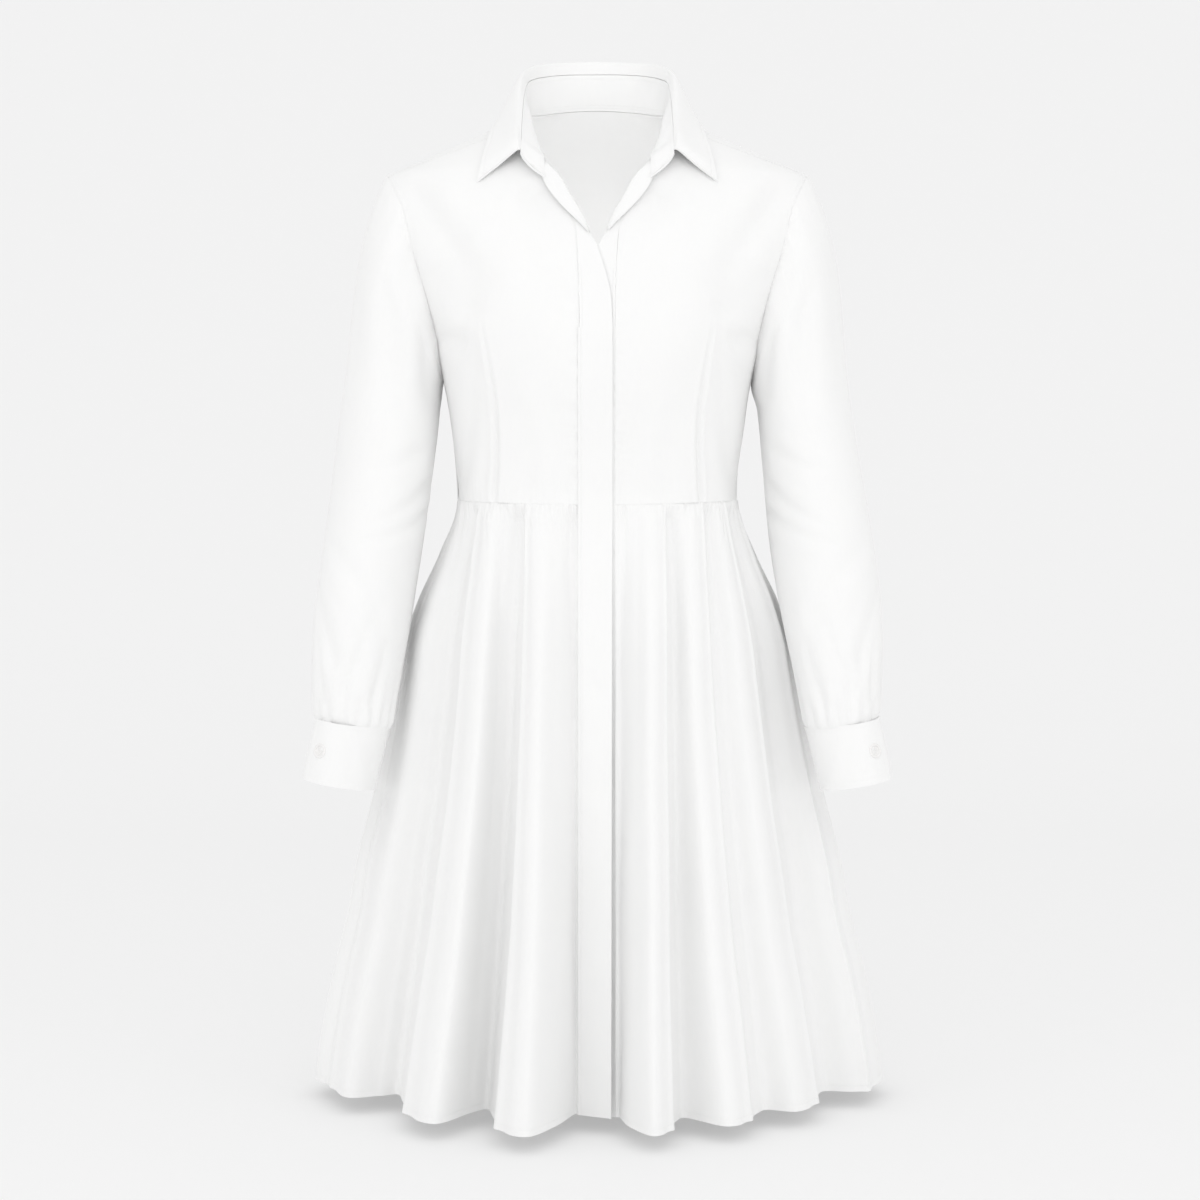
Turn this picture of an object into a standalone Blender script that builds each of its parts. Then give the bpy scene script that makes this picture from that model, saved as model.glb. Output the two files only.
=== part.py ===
"""Long-sleeved shirt dress, filled out as if worn, with no wearer inside.

Metres, +Z up.  The front faces -Y and +X is the wearer's left.  The origin lies midway
between the two points where the shoulders meet the neck.  Every piece is an open sheet
laid on its form and then given its wall, so the dress stays hollow and open at the neck,
the hem and both cuffs.
"""

import math

import bmesh
import bpy
from mathutils import Vector

# ---------------------------------------------------------------- driving sizes
WALL = 0.0015            # bodice, sleeve and skirt cloth with its seam turnings
BAND_WALL = 0.0014       # plackets
COLLAR_WALL = 0.0016
CUFF_WALL = 0.0018
SEAM_GAP = 0.0003        # between pieces sewn to each other

FRONT_FULLNESS = 2.2     # 2 is an ellipse, more is squarer
BACK_FULLNESS = 2.3
BUST_RISE = 0.005
BUST_OUT = 0.088         # from the centre to the fullest point
BUST_LEVEL = -0.215
BUST_SPREAD = 0.048
BACK_NECK_LIFT = 0.010

SHOULDER_SEAM_NECK = 77.9    # the seam lies forward of the ridge, at these angles
SHOULDER_SEAM_TIP = 85.0
SEAM_TURN = 0.15         # the same gap as a turn about the body, in degrees
WAIST_SIDE = -0.3725
WAIST_CENTRE = -0.3760
HEM_LEVEL = -0.9330
UNDERARM = -0.2560
SHOULDER_TIP = -0.0595

PLACKET_EDGE = 0.0165    # sewn edge of either placket from the centre line
PLACKET_FREE = 0.0139    # free edge of the upper placket
UPPER_PROUD = 0.0016     # outer face of the upper placket above the cloth beside it
UNDER_SUNK = 0.0002      # outer face of the under placket below it
ROLL_RADIUS = 0.0009
BAND_PROUD = 0.0024      # the same for the turned-out bands, which lie on the fronts
SLEEVE_CLEAR = 0.0009    # sleeve beyond the armhole edge, likewise
FRONT_STAND_CLEAR = 0.0007
STAND_CLEAR = 0.0028     # foot of the stand above the neck edge, for its own thickness

CUFF_LAP_ANGLE = 33.0    # free end of the cuff, from the outer side towards the front
CUFF_UNDER_LAP = 26.0    # how far the cuff runs on underneath, in degrees
CUFF_LAYER = 0.0024      # outer layer stands this far off the inner one
BUTTON_ANGLE = 55.0
BUTTON_RADIUS = 0.0068
BUTTON_THICK = 0.0026
BUTTON_RIM = 0.0017


# ---------------------------------------------------------------- tables
def table(names, *rows):
    """Named columns, each a plain list, from rows read top to bottom."""
    return dict(zip(names.split(), map(list, zip(*rows))))


# the form inside the cloth, section by section; above the underarm the half width is
# that of the whole section, which the armhole cuts short
BODY = table(
    "level   half_width front_depth back_depth",
    (0.0000, 0.0650, 0.0500, 0.0640),
    (-0.0120, 0.0923, 0.0580, 0.0700),
    (-0.0300, 0.1331, 0.0710, 0.0785),
    (-0.0500, 0.1786, 0.0845, 0.0865),
    (-0.0595, 0.1997, 0.0903, 0.0895),
    (-0.0720, 0.2085, 0.0960, 0.0925),
    (-0.0900, 0.2115, 0.1040, 0.0955),
    (-0.1100, 0.2055, 0.1105, 0.0980),
    (-0.1400, 0.1920, 0.1175, 0.1005),
    (-0.1750, 0.1760, 0.1225, 0.1015),
    (-0.2150, 0.1590, 0.1250, 0.1010),
    (-0.2560, 0.1475, 0.1220, 0.0990),
    (-0.2970, 0.1405, 0.1130, 0.0960),
    (-0.3410, 0.1352, 0.1040, 0.0930),
    (-0.3725, 0.1340, 0.1000, 0.0920),
    (-0.3900, 0.1340, 0.1000, 0.0920),
)

ARMHOLE = table(
    "level   front_x back_x",
    (-0.0595, 0.1997, 0.1997),
    (-0.0654, 0.1962, 0.1972),
    (-0.0800, 0.1890, 0.1920),
    (-0.0980, 0.1815, 0.1870),
    (-0.1420, 0.1705, 0.1785),
    (-0.1820, 0.1595, 0.1690),
    (-0.2230, 0.1515, 0.1560),
    (-0.2560, 0.1475, 0.1475),
)

# half of the front: for each level on the side seam and armhole, where the thread line
# that ends there starts at the centre edge and neckline
FRONT = table(
    "level   inner_level inner_x",
    (-0.3725, -0.3760, 0.0165),
    (-0.3410, -0.3410, 0.0165),
    (-0.2970, -0.2970, 0.0165),
    (-0.2560, -0.2560, 0.0165),
    (-0.2150, -0.2050, 0.0165),
    (-0.1800, -0.1600, 0.0172),
    (-0.1580, -0.1326, 0.0188),
    (-0.1380, -0.1080, 0.0206),
    (-0.1200, -0.0925, 0.0222),
    (-0.1000, -0.0685, 0.0348),
    (-0.0840, -0.0478, 0.0495),
    (-0.0700, -0.0253, 0.0582),
    (-0.0595, 0.0000, 0.0637),
)

# sleeve rings below the armhole; the rise is how much higher the outer side sits
SLEEVE = table(
    "place centre_x centre_y level half_width half_depth rise",
    (0.30, 0.1968, 0.000, -0.2780, 0.0436, 0.0600, 0.0080),
    (0.44, 0.2034, -0.005, -0.3330, 0.0461, 0.0600, 0.0030),
    (0.62, 0.2125, -0.016, -0.4065, 0.0473, 0.0575, 0.0020),
    (0.76, 0.2205, -0.030, -0.4665, 0.0455, 0.0530, 0.0020),
    (0.92, 0.2285, -0.044, -0.5379, 0.0395, 0.0450, 0.0040),
    (1.00, 0.2312, -0.050, -0.5786, 0.0338, 0.0380, 0.0048),
)

CUFF = table(
    "place centre_x centre_y level half_width half_depth rise",
    (0.00, 0.2313, -0.0501, -0.5792, 0.0336, 0.0376, 0.0048),
    (1.00, 0.2443, -0.0580, -0.6350, 0.0318, 0.0360, 0.0060),
)

# collar stations from the centre back round to one front end, each line running from
# the neck seam up the stand, over the fold and down the leaf
COLLAR = table(
    "foot_x foot_y foot_z  seam_x seam_y seam_z  fold_x fold_y fold_z  "
    "mid_x mid_y mid_z  edge_x edge_y edge_z",
    (0.0000, 0.0640, 0.0106, 0.0000, 0.0665, 0.0455, 0.0000, 0.0705, 0.0577,
     0.0000, 0.0780, 0.0330, 0.0000, 0.0845, 0.0030),
    (0.0360, 0.0552, 0.0080, 0.0380, 0.0570, 0.0435, 0.0400, 0.0612, 0.0555,
     0.0462, 0.0695, 0.0310, 0.0520, 0.0762, 0.0020),
    (0.0580, 0.0330, 0.0036, 0.0615, 0.0310, 0.0365, 0.0648, 0.0330, 0.0480,
     0.0755, 0.0400, 0.0240, 0.0850, 0.0450, -0.0030),
    (0.0650, -0.0010, 0.0008, 0.0687, -0.0020, 0.0245, 0.0748, 0.0000, 0.0310,
     0.0870, 0.0040, 0.0115, 0.0972, 0.0060, -0.0085),
    (0.0578, -0.0612, -0.0246, 0.0702, -0.0530, -0.0095, 0.0763, -0.0545, -0.0120,
     0.0890, -0.0500, -0.0190, 0.1005, -0.0440, -0.0225),
    (0.0490, -0.0868, -0.0478, 0.0705, -0.0790, -0.0330, 0.0765, -0.0810, -0.0310,
     0.0930, -0.0815, -0.0440, 0.1075, -0.0772, -0.0530),
    (0.0520, -0.0945, -0.0600, 0.0708, -0.0880, -0.0425, 0.0752, -0.0905, -0.0440,
     0.0925, -0.0935, -0.0580, 0.1108, -0.0900, -0.0715),
)

# skirt spread below the waist
SPREAD = table(
    "drop side_share",
    (0.000, 0.000),
    (0.012, 0.002),
    (0.095, 0.125),
    (0.170, 0.270),
    (0.240, 0.370),
    (0.300, 0.415),
    (0.480, 0.570),
    (0.625, 0.715),
    (0.700, 0.765),
    (0.810, 0.875),
    (0.960, 0.985),
    (1.000, 1.000),
)

# folds of each skirt panel: place on the waist as an angle from the centre front, and
# the same thread at the hem, troughs and crests in turn
FOLDS_RIGHT = table(
    "waist hem_x hem_y",
    (5.7, -0.0165, -0.1270),
    (8.2, -0.0225, -0.1280),
    (13.6, -0.0380, -0.1730),
    (20.6, -0.0640, -0.2125),
    (27.0, -0.0930, -0.1820),
    (31.5, -0.1010, -0.1050),
    (38.0, -0.1180, -0.1190),
    (45.0, -0.1500, -0.1630),
    (54.0, -0.1810, -0.1210),
    (60.0, -0.1890, -0.0500),
    (67.0, -0.2080, -0.0520),
    (75.0, -0.2380, -0.0590),
    (83.0, -0.2560, -0.0180),
    (90.0, -0.2750, 0.0200),
)
FOLDS_LEFT = table(
    "waist hem_x hem_y",
    (5.7, 0.0165, -0.1330),
    (8.4, 0.0215, -0.1380),
    (13.6, 0.0300, -0.1760),
    (19.0, 0.0500, -0.2090),
    (25.5, 0.0680, -0.1870),
    (29.5, 0.0790, -0.1060),
    (37.0, 0.1180, -0.1720),
    (45.0, 0.1416, -0.1510),
    (50.0, 0.1560, -0.0990),
    (57.0, 0.1870, -0.1156),
    (63.0, 0.2087, -0.0820),
    (69.0, 0.2160, -0.0330),
    (79.0, 0.2600, -0.0330),
    (90.0, 0.2786, 0.0250),
)
FOLDS_BACK = table(
    "waist hem_x hem_y",
    (90.0, 0.2786, 0.0250),
    (100.0, 0.2640, 0.0680),
    (110.0, 0.2140, 0.0830),
    (121.0, 0.2210, 0.1430),
    (131.0, 0.1600, 0.1300),
    (142.0, 0.1480, 0.1990),
    (152.0, 0.1000, 0.1520),
    (162.0, 0.0700, 0.2170),
    (171.0, 0.0340, 0.1610),
    (180.0, -0.0040, 0.2190),
    (189.0, -0.0380, 0.1590),
    (199.0, -0.0780, 0.2140),
    (209.0, -0.1020, 0.1500),
    (219.0, -0.1500, 0.1960),
    (229.0, -0.1580, 0.1290),
    (239.0, -0.2220, 0.1400),
    (250.0, -0.2120, 0.0820),
    (260.0, -0.2620, 0.0700),
    (270.0, -0.2750, 0.0200),
)

# how the cloth settles: each level of the plain form is lifted by this much
SETTLE = table(
    "level   lift",
    (0.0700, 0.0000),
    (-0.0600, 0.0000),
    (-0.1326, 0.0024),
    (-0.2500, 0.0045),
    (-0.3743, 0.0065),
    (-0.5000, 0.0045),
    (-0.6400, 0.0024),
    (-0.8000, 0.0008),
    (-0.9400, 0.0000),
)

# centre edges above the chest, on the wearer's right: the sewn edge, the line on which
# the band rolls over, and how far the turned-out part reaches beyond it
BAND_UPPER = table(
    "row  sewn_x sewn_z  roll_x roll_z  free_x free_z",
    (0.00, -0.0162, -0.2100, 0.0139, -0.2100, 0.0139, -0.2100),
    (0.16, -0.0163, -0.1820, 0.0124, -0.1820, 0.0124, -0.1820),
    (0.28, -0.0168, -0.1620, 0.0087, -0.1634, 0.0087, -0.1634),
    (0.38, -0.0176, -0.1460, 0.0041, -0.1480, 0.0040, -0.1480),
    (0.48, -0.0186, -0.1300, -0.0012, -0.1326, -0.0016, -0.1328),
    (0.60, -0.0198, -0.1140, -0.0106, -0.1143, -0.0125, -0.1160),
    (0.70, -0.0206, -0.1000, -0.0180, -0.0990, -0.0260, -0.1030),
    (0.80, -0.0278, -0.0860, -0.0262, -0.0850, -0.0385, -0.0890),
    (0.90, -0.0362, -0.0690, -0.0345, -0.0680, -0.0478, -0.0765),
    (1.00, -0.0482, -0.0506, -0.0468, -0.0500, -0.0520, -0.0609),
)
BAND_UNDER = table(
    "row  sewn_x sewn_z  roll_x roll_z  free_x free_z",
    (0.00, 0.0162, -0.2100, -0.0130, -0.2100, -0.0130, -0.2100),
    (0.16, 0.0163, -0.1820, -0.0130, -0.1820, -0.0130, -0.1820),
    (0.28, 0.0168, -0.1620, -0.0115, -0.1620, -0.0115, -0.1620),
    (0.38, 0.0176, -0.1460, -0.0050, -0.1460, -0.0050, -0.1460),
    (0.48, 0.0186, -0.1300, 0.0040, -0.1290, 0.0044, -0.1292),
    (0.60, 0.0198, -0.1140, 0.0115, -0.1130, 0.0142, -0.1145),
    (0.70, 0.0206, -0.1000, 0.0185, -0.0985, 0.0268, -0.1020),
    (0.80, 0.0278, -0.0860, 0.0262, -0.0850, 0.0390, -0.0885),
    (0.90, 0.0362, -0.0690, 0.0345, -0.0680, 0.0482, -0.0765),
    (1.00, 0.0482, -0.0506, 0.0468, -0.0500, 0.0522, -0.0609),
)


# ---------------------------------------------------------------- reading tables
def read(tab, column, at, along="level"):
    """Value of one column at a place along another, on a curve that never overshoots."""
    xs = tab[along]
    ys = tab[column]
    if xs[0] > xs[-1]:
        xs = xs[::-1]
        ys = ys[::-1]
    at = min(max(at, xs[0]), xs[-1])
    last = len(xs) - 2
    i = 0
    while i < last and at > xs[i + 1]:
        i += 1
    widths = [xs[k + 1] - xs[k] for k in range(len(xs) - 1)]
    slopes = [(ys[k + 1] - ys[k]) / widths[k] for k in range(len(xs) - 1)]

    def lean(k):
        if k == 0 or k == len(xs) - 1:
            return slopes[0] if k == 0 else slopes[-1]
        before = slopes[k - 1]
        after = slopes[k]
        if before * after <= 0.0:
            return 0.0
        return 2.0 * before * after / (before + after)

    h = widths[i]
    t = (at - xs[i]) / h
    start = ys[i]
    end = ys[i + 1]
    return (
        start * (1.0 + 2.0 * t) * (1.0 - t) ** 2
        + end * t * t * (3.0 - 2.0 * t)
        + h * lean(i) * t * (1.0 - t) ** 2
        + h * lean(i + 1) * t * t * (t - 1.0)
    )


def flowing(values, place):
    """Value at a place along evenly numbered stations, on a rounded curve through them."""
    last = len(values) - 1
    i = min(int(place), last - 1)
    t = place - i
    b = values[i]
    c = values[i + 1]
    a = values[i - 1] if i > 0 else 2.0 * b - c
    d = values[i + 2] if i + 2 <= last else 2.0 * c - b
    return 0.5 * (
        2.0 * b
        + (c - a) * t
        + (2.0 * a - 5.0 * b + 4.0 * c - d) * t * t
        + (3.0 * b - a - 3.0 * c + d) * t * t * t
    )


def mix(a, b, t):
    return a + (b - a) * t


# ---------------------------------------------------------------- forms
def body(degrees, level):
    """Point of the bodice form at an angle from the centre front, towards +X."""
    turn = math.radians(degrees)
    s = math.sin(turn)
    c = math.cos(turn)
    fullness = FRONT_FULLNESS if c >= 0.0 else BACK_FULLNESS
    depth = read(BODY, "front_depth" if c >= 0.0 else "back_depth", level)
    x = read(BODY, "half_width", level) * math.copysign(abs(s) ** (2.0 / fullness), s)
    y = -math.copysign(depth * abs(c) ** (2.0 / fullness), c)
    z = level
    if c >= 0.0:
        away = math.hypot(abs(x) - BUST_OUT, level - BUST_LEVEL) / BUST_SPREAD
        y -= BUST_RISE * math.exp(-away * away)
    else:
        z += BACK_NECK_LIFT * c * c * max(0.0, 1.0 + level / 0.06) ** 2
    return Vector((x, y, z))


def angle_at(x, level, fullness=FRONT_FULLNESS):
    share = min(abs(x) / read(BODY, "half_width", level), 1.0)
    return math.degrees(math.asin(share ** (fullness / 2.0)))


def on_front(x, level):
    turn = math.copysign(angle_at(x, level), x)
    return body(turn, level)


def front_point(side, u, level):
    """Half front; u runs from the centre edge to the side, level is that of the side."""
    inner_level = read(FRONT, "inner_level", level)
    inner = angle_at(read(FRONT, "inner_x", level), inner_level)
    outer = 90.0
    if level > UNDERARM:
        outer = angle_at(read(ARMHOLE, "front_x", level), level)
    if level >= SHOULDER_TIP:
        outer = SHOULDER_SEAM_TIP
    return body(side * mix(inner, outer - SEAM_TURN, u), mix(inner_level, level, u))


def back_point(u, level):
    """Back; u runs from -1 at one side to 1 at the other, up to the neckline at level 0."""
    reach = 90.0
    if level > SHOULDER_TIP:
        seam = mix(SHOULDER_SEAM_NECK, SHOULDER_SEAM_TIP, level / SHOULDER_TIP)
        reach = 180.0 - seam - mix(1.10, 0.35, level / SHOULDER_TIP)
    elif level == SHOULDER_TIP:
        reach = 180.0 - SHOULDER_SEAM_TIP - 0.35
    elif level > UNDERARM:
        reach = angle_at(read(ARMHOLE, "back_x", level), level, BACK_FULLNESS)
    return body(180.0 - (reach - SEAM_TURN) * u, level)


def armhole_point(side, degrees):
    """Edge of the armhole; 0 at the shoulder tip, 90 at the front, 180 underneath."""
    turn = math.radians(degrees)
    level = mix(SHOULDER_TIP, UNDERARM, (1.0 - math.cos(turn)) / 2.0)
    if degrees <= 180.0:
        return body(side * angle_at(read(ARMHOLE, "front_x", level), level), level)
    around = angle_at(read(ARMHOLE, "back_x", level), level, BACK_FULLNESS)
    return body(side * (180.0 - around), level)


def ring_point(tab, side, degrees, place, out=0.0):
    turn = math.radians(degrees)
    c = math.cos(turn)
    s = math.sin(turn)
    x = read(tab, "centre_x", place, "place") + (read(tab, "half_width", place, "place") + out) * c
    y = read(tab, "centre_y", place, "place") - (read(tab, "half_depth", place, "place") + out) * s
    z = read(tab, "level", place, "place") + read(tab, "rise", place, "place") * c
    return Vector((side * x, y, z))


def sleeve_point(side, degrees, place):
    """Sleeve surface; place 0 at the armhole and 1 at the cuff."""
    top = SLEEVE["place"][0]
    if place >= top:
        return ring_point(SLEEVE, side, degrees, place)
    start = armhole_point(side, degrees)
    end = ring_point(SLEEVE, side, degrees, top)
    after = ring_point(SLEEVE, side, degrees, top + 0.02)
    span = (end - start).length
    turn = math.radians(degrees)
    outwards = 0.5 + 0.5 * math.cos(turn)
    leave = Vector((side * mix(0.10, 0.46, outwards), -0.45 * math.sin(turn), mix(-1.0, -0.88, outwards)))
    leave.normalize()
    arrive = (after - end).normalized()
    t = place / top
    return (
        start * (1.0 + 2.0 * t) * (1.0 - t) ** 2
        + end * t * t * (3.0 - 2.0 * t)
        + leave * span * t * (1.0 - t) ** 2
        + arrive * span * t * t * (t - 1.0)
    )


def skirt_point(folds, u, drop):
    """Skirt surface; u runs along a panel's waist, drop from 0 at the waist to 1."""
    place = u * (len(folds["waist"]) - 1)
    degrees = flowing(folds["waist"], place)
    side = 1.0 if sum(folds["hem_x"]) > 0.0 else -1.0
    if degrees <= 90.0:
        waist = body(side * degrees, WAIST_SIDE)
        level = mix(WAIST_CENTRE, WAIST_SIDE, (degrees - 5.7) / 84.3)
    else:
        waist = body(degrees, WAIST_SIDE)
        level = WAIST_SIDE
    outwards = read(SPREAD, "side_share", drop, "drop")
    at_side = abs(math.sin(math.radians(degrees))) ** 3
    across = mix(max(drop - 0.012, 0.0) ** 2, outwards, at_side)
    x = mix(waist.x, flowing(folds["hem_x"], place), across)
    y = mix(waist.y, flowing(folds["hem_y"], place), outwards)
    return Vector((x, y, mix(level - SEAM_GAP - 0.0002, HEM_LEVEL, drop)))


def neck_edge(station):
    """Neck seam on the bodice, from the centre back at station 0 to the roll at 5."""
    side = 1.0 if station >= 0.0 else -1.0
    place = abs(station)
    if place <= 3.0:
        return body(side * (180.0 - 30.0 * place), 0.0)
    if place <= 3.2:
        return body(side * mix(90.0, SHOULDER_SEAM_NECK, (place - 3.0) / 0.2), 0.0)
    return front_point(side, 0.0, mix(SHOULDER_TIP, -0.0840, (place - 3.2) / 1.8))


def collar_line(name, station):
    """Point of one named line of the collar at a station from -6 round to 6."""
    place = abs(station)
    side = 1.0 if station >= 0.0 else -1.0

    def column(axis):
        values = COLLAR[name + axis]
        mirrored = [-v if axis == "_x" else v for v in values[:0:-1]]
        return flowing(mirrored + values, 6.0 + place)

    point = Vector((side * column("_x"), column("_y"), column("_z")))
    if name == "foot" and place < 5.0:
        return neck_edge(station)
    return point


def settled(point):
    return point + Vector((0.0, 0.0, read(SETTLE, "lift", point.z)))


# ---------------------------------------------------------------- building
def fresh_scene():
    for thing in list(bpy.data.objects):
        bpy.data.objects.remove(thing, do_unlink=True)
    for mesh in list(bpy.data.meshes):
        bpy.data.meshes.remove(mesh)


def paint(thing, colour, rough):
    material = bpy.data.materials.new(thing.name + "_material")
    material.use_nodes = True
    shader = material.node_tree.nodes["Principled BSDF"]
    shader.inputs["Base Color"].default_value = (*colour, 1.0)
    shader.inputs["Roughness"].default_value = rough
    thing.data.materials.append(material)


def sheet(name, point, across, down, wall, closed=False, flip=False, middle=False):
    """Cloth: a grid of points on its form, then the wall laid behind it."""
    work = bmesh.new()
    rows = [[work.verts.new(settled(point(u, v))) for u in across] for v in down]
    count = len(across)
    for lower, upper in zip(rows, rows[1:]):
        for i in range(count if closed else count - 1):
            j = (i + 1) % count
            corners = [lower[i], lower[j], upper[j], upper[i]]
            work.faces.new(reversed(corners) if flip else corners)
    mesh = bpy.data.meshes.new(name)
    work.to_mesh(mesh)
    work.free()
    thing = bpy.data.objects.new(name, mesh)
    DRESS.objects.link(thing)
    for face in mesh.polygons:
        face.use_smooth = True
    thicken = thing.modifiers.new("wall", "SOLIDIFY")
    thicken.thickness = wall
    thicken.offset = 0.0 if middle else -1.0
    thicken.use_even_offset = False
    paint(thing, (0.86, 0.86, 0.85), 0.8)
    return thing


def even(count):
    return [i / count for i in range(count + 1)]


fresh_scene()
DRESS = bpy.data.collections.new("shirt_dress")
bpy.context.scene.collection.children.link(DRESS)

SIDES = (("right", -1.0), ("left", 1.0))
FOLDS = {"right": FOLDS_RIGHT, "left": FOLDS_LEFT}
AROUND_SLEEVE = [360.0 * i / 16.0 for i in range(16)]
ARMHOLE_ROWS = [
    mix(SHOULDER_TIP, UNDERARM, (1.0 - math.cos(math.radians(turn))) / 2.0)
    for turn in reversed(AROUND_SLEEVE[:9])
]
BODICE_ROWS = [WAIST_SIDE, -0.3500, -0.3180, -0.2850] + ARMHOLE_ROWS
SKIRT_ROWS = [0.0, 0.018, 0.10, 0.22, 0.40, 0.62, 0.82, 1.0]
SLEEVE_ROWS = [0.0, 0.05, 0.13, 0.22, 0.30, 0.44, 0.60, 0.76, 0.90, 1.0]
SIDE_TRIM = 0.02         # share of the last fold left off at a skirt side seam


def bodice_pieces():
    for word, side in SIDES:
        sheet(
            "front_" + word,
            lambda u, v, side=side: front_point(side, u, v),
            even(8),
            BODICE_ROWS,
            WALL,
            flip=side < 0.0,
        )
    rows = BODICE_ROWS + [-0.0400, -0.0200, 0.0]
    sheet("back_bodice", back_point, [2.0 * u - 1.0 for u in even(18)], rows, WALL, flip=True)


def sleeves():
    for word, side in SIDES:

        def point(u, v, side=side):
            start = sleeve_point(side, u, v)
            if v > 0.0:
                return start
            onward = sleeve_point(side, u, 0.02) - start
            return start + onward.normalized() * SLEEVE_CLEAR

        sheet("sleeve_" + word, point, AROUND_SLEEVE, SLEEVE_ROWS, WALL, closed=True, flip=side < 0.0)


def cuffs():
    turn = 360.0 + CUFF_UNDER_LAP
    for word, side in SIDES:

        def point(u, v, side=side):
            turned = u * turn
            lapped = (turned - turn + CUFF_UNDER_LAP + 50.0) / 44.0
            lapped = min(max(lapped, 0.0), 1.0)
            lift = CUFF_LAYER * lapped * lapped * (3.0 - 2.0 * lapped)
            degrees = CUFF_LAP_ANGLE + CUFF_UNDER_LAP - turned
            return ring_point(CUFF, side, degrees, v, out=lift)

        sheet("cuff_" + word, point, even(26), [0.0, 0.5, 1.0], CUFF_WALL, flip=side > 0.0)


def skirt_pieces():
    for word, side in SIDES:
        folds = FOLDS[word]
        last = len(folds["waist"]) - 1
        sheet(
            "skirt_front_" + word,
            lambda u, v, folds=folds: skirt_point(folds, u, v),
            [u * (1.0 - SIDE_TRIM / last) for u in even(last * 2)],
            SKIRT_ROWS,
            WALL,
            flip=side > 0.0,
        )
    last = len(FOLDS_BACK["waist"]) - 1
    sheet(
        "skirt_back",
        lambda u, v: skirt_point(FOLDS_BACK, u, v),
        [mix(SIDE_TRIM / last, 1.0 - SIDE_TRIM / last, u) for u in even(last * 2)],
        SKIRT_ROWS,
        WALL,
        flip=True,
    )


def placket_point(tab, folds, beyond, out, u, where):
    """Placket or turned-out band; where names the stretch and the place along it."""
    stretch, place = where
    side = -1.0 if tab is BAND_UPPER else 1.0
    if stretch == "skirt":
        start = skirt_point(folds, 0.0, place)
        start.x = side * (PLACKET_EDGE - SEAM_GAP)
        spread = read(SPREAD, "side_share", place, "drop")
        end = Vector((beyond, start.y, start.z))
        if side < 0.0:
            end.y -= 0.0225 * spread
            end.x -= 0.0015 * spread
        else:
            end.y = skirt_point(FOLDS_RIGHT, 0.0, place).y + 0.0030 * spread
        point = start.lerp(end, u)
        if place < 0.4:
            form = on_front(point.x, WAIST_SIDE).y - on_front(start.x, WAIST_SIDE).y
            point.y += form * (1.0 - place / 0.4)
        return point - Vector((0.0, out, 0.0))
    if stretch == "bodice":
        x = mix(side * (PLACKET_EDGE - SEAM_GAP), beyond, u)
        return on_front(x, place) - Vector((0.0, out, 0.0))
    sewn = Vector((read(tab, "sewn_x", place, "row"), read(tab, "sewn_z", place, "row")))
    roll = Vector((read(tab, "roll_x", place, "row"), read(tab, "roll_z", place, "row")))
    free = Vector((read(tab, "free_x", place, "row"), read(tab, "free_z", place, "row")))
    turned = min(max((place - 0.46) / 0.16, 0.0), 1.0)
    turned = turned * turned * (3.0 - 2.0 * turned)
    out = mix(out, BAND_PROUD, turned)
    flat = sewn.lerp(roll, u)
    outwards = (roll - free).normalized() if turned > 0.0 else (roll - sewn).normalized()
    hinge = roll - outwards * ROLL_RADIUS
    if u <= 0.5:
        folded = sewn.lerp(hinge, u / 0.5)
        rise = 0.0
    elif u < 0.75:
        curl = (u - 0.5) / 0.25 * math.pi
        folded = hinge + outwards * ROLL_RADIUS * math.sin(curl)
        rise = ROLL_RADIUS * (1.0 - math.cos(curl))
    else:
        folded = hinge.lerp(free, (u - 0.75) / 0.25)
        rise = 2.0 * ROLL_RADIUS
    spot = flat.lerp(folded, turned)
    return on_front(spot.x, spot.y) - Vector((0.0, out + rise * turned, 0.0))


def plackets():
    stretches = [("skirt", drop) for drop in reversed(SKIRT_ROWS)]
    stretches += [("bodice", level) for level in (-0.345, -0.310, -0.275, -0.240)]
    stretches += [("band", row) for row in (0.0, 0.20, 0.38, 0.48, 0.54, 0.62, 0.70, 0.80,
                                            0.90, 1.0)]
    across = [0.0, 0.5, 0.583, 0.667, 0.75, 1.0]
    for name, tab, folds, beyond, out, flip in (
        ("placket_upper", BAND_UPPER, FOLDS_RIGHT, PLACKET_FREE, UPPER_PROUD, False),
        ("placket_under", BAND_UNDER, FOLDS_LEFT, -0.0130, -UNDER_SUNK, True),
    ):

        def point(u, where, tab=tab, folds=folds, beyond=beyond, out=out):
            return placket_point(tab, folds, beyond, out, u, where)

        sheet(name, point, across, stretches, BAND_WALL, flip=flip)


def collar():
    stations = [12.0 * u - 6.0 for u in even(30)]

    def stand(station, v):
        foot = collar_line("foot", station)
        seam = collar_line("seam", station)
        reach = (seam - foot).length
        clear = STAND_CLEAR + (FRONT_STAND_CLEAR if 3.0 < abs(station) < 5.0 else 0.0)
        return foot.lerp(seam, mix(clear / reach, 1.0 - 0.0005 / reach, v))

    def leaf(station, v):
        lines = [collar_line(name, station) for name in ("seam", "fold", "mid", "edge")]
        trim = 0.0008 / (lines[1] - lines[0]).length
        place = mix(trim, 3.0, v)
        return Vector([flowing([line[axis] for line in lines], place) for axis in range(3)])

    sheet("collar_stand", stand, stations, [0.0, 0.5, 1.0], COLLAR_WALL, middle=True)
    sheet("collar_leaf", leaf, stations, [0.0, 0.16, 0.34, 0.47, 0.70, 1.0], COLLAR_WALL, middle=True)


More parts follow.
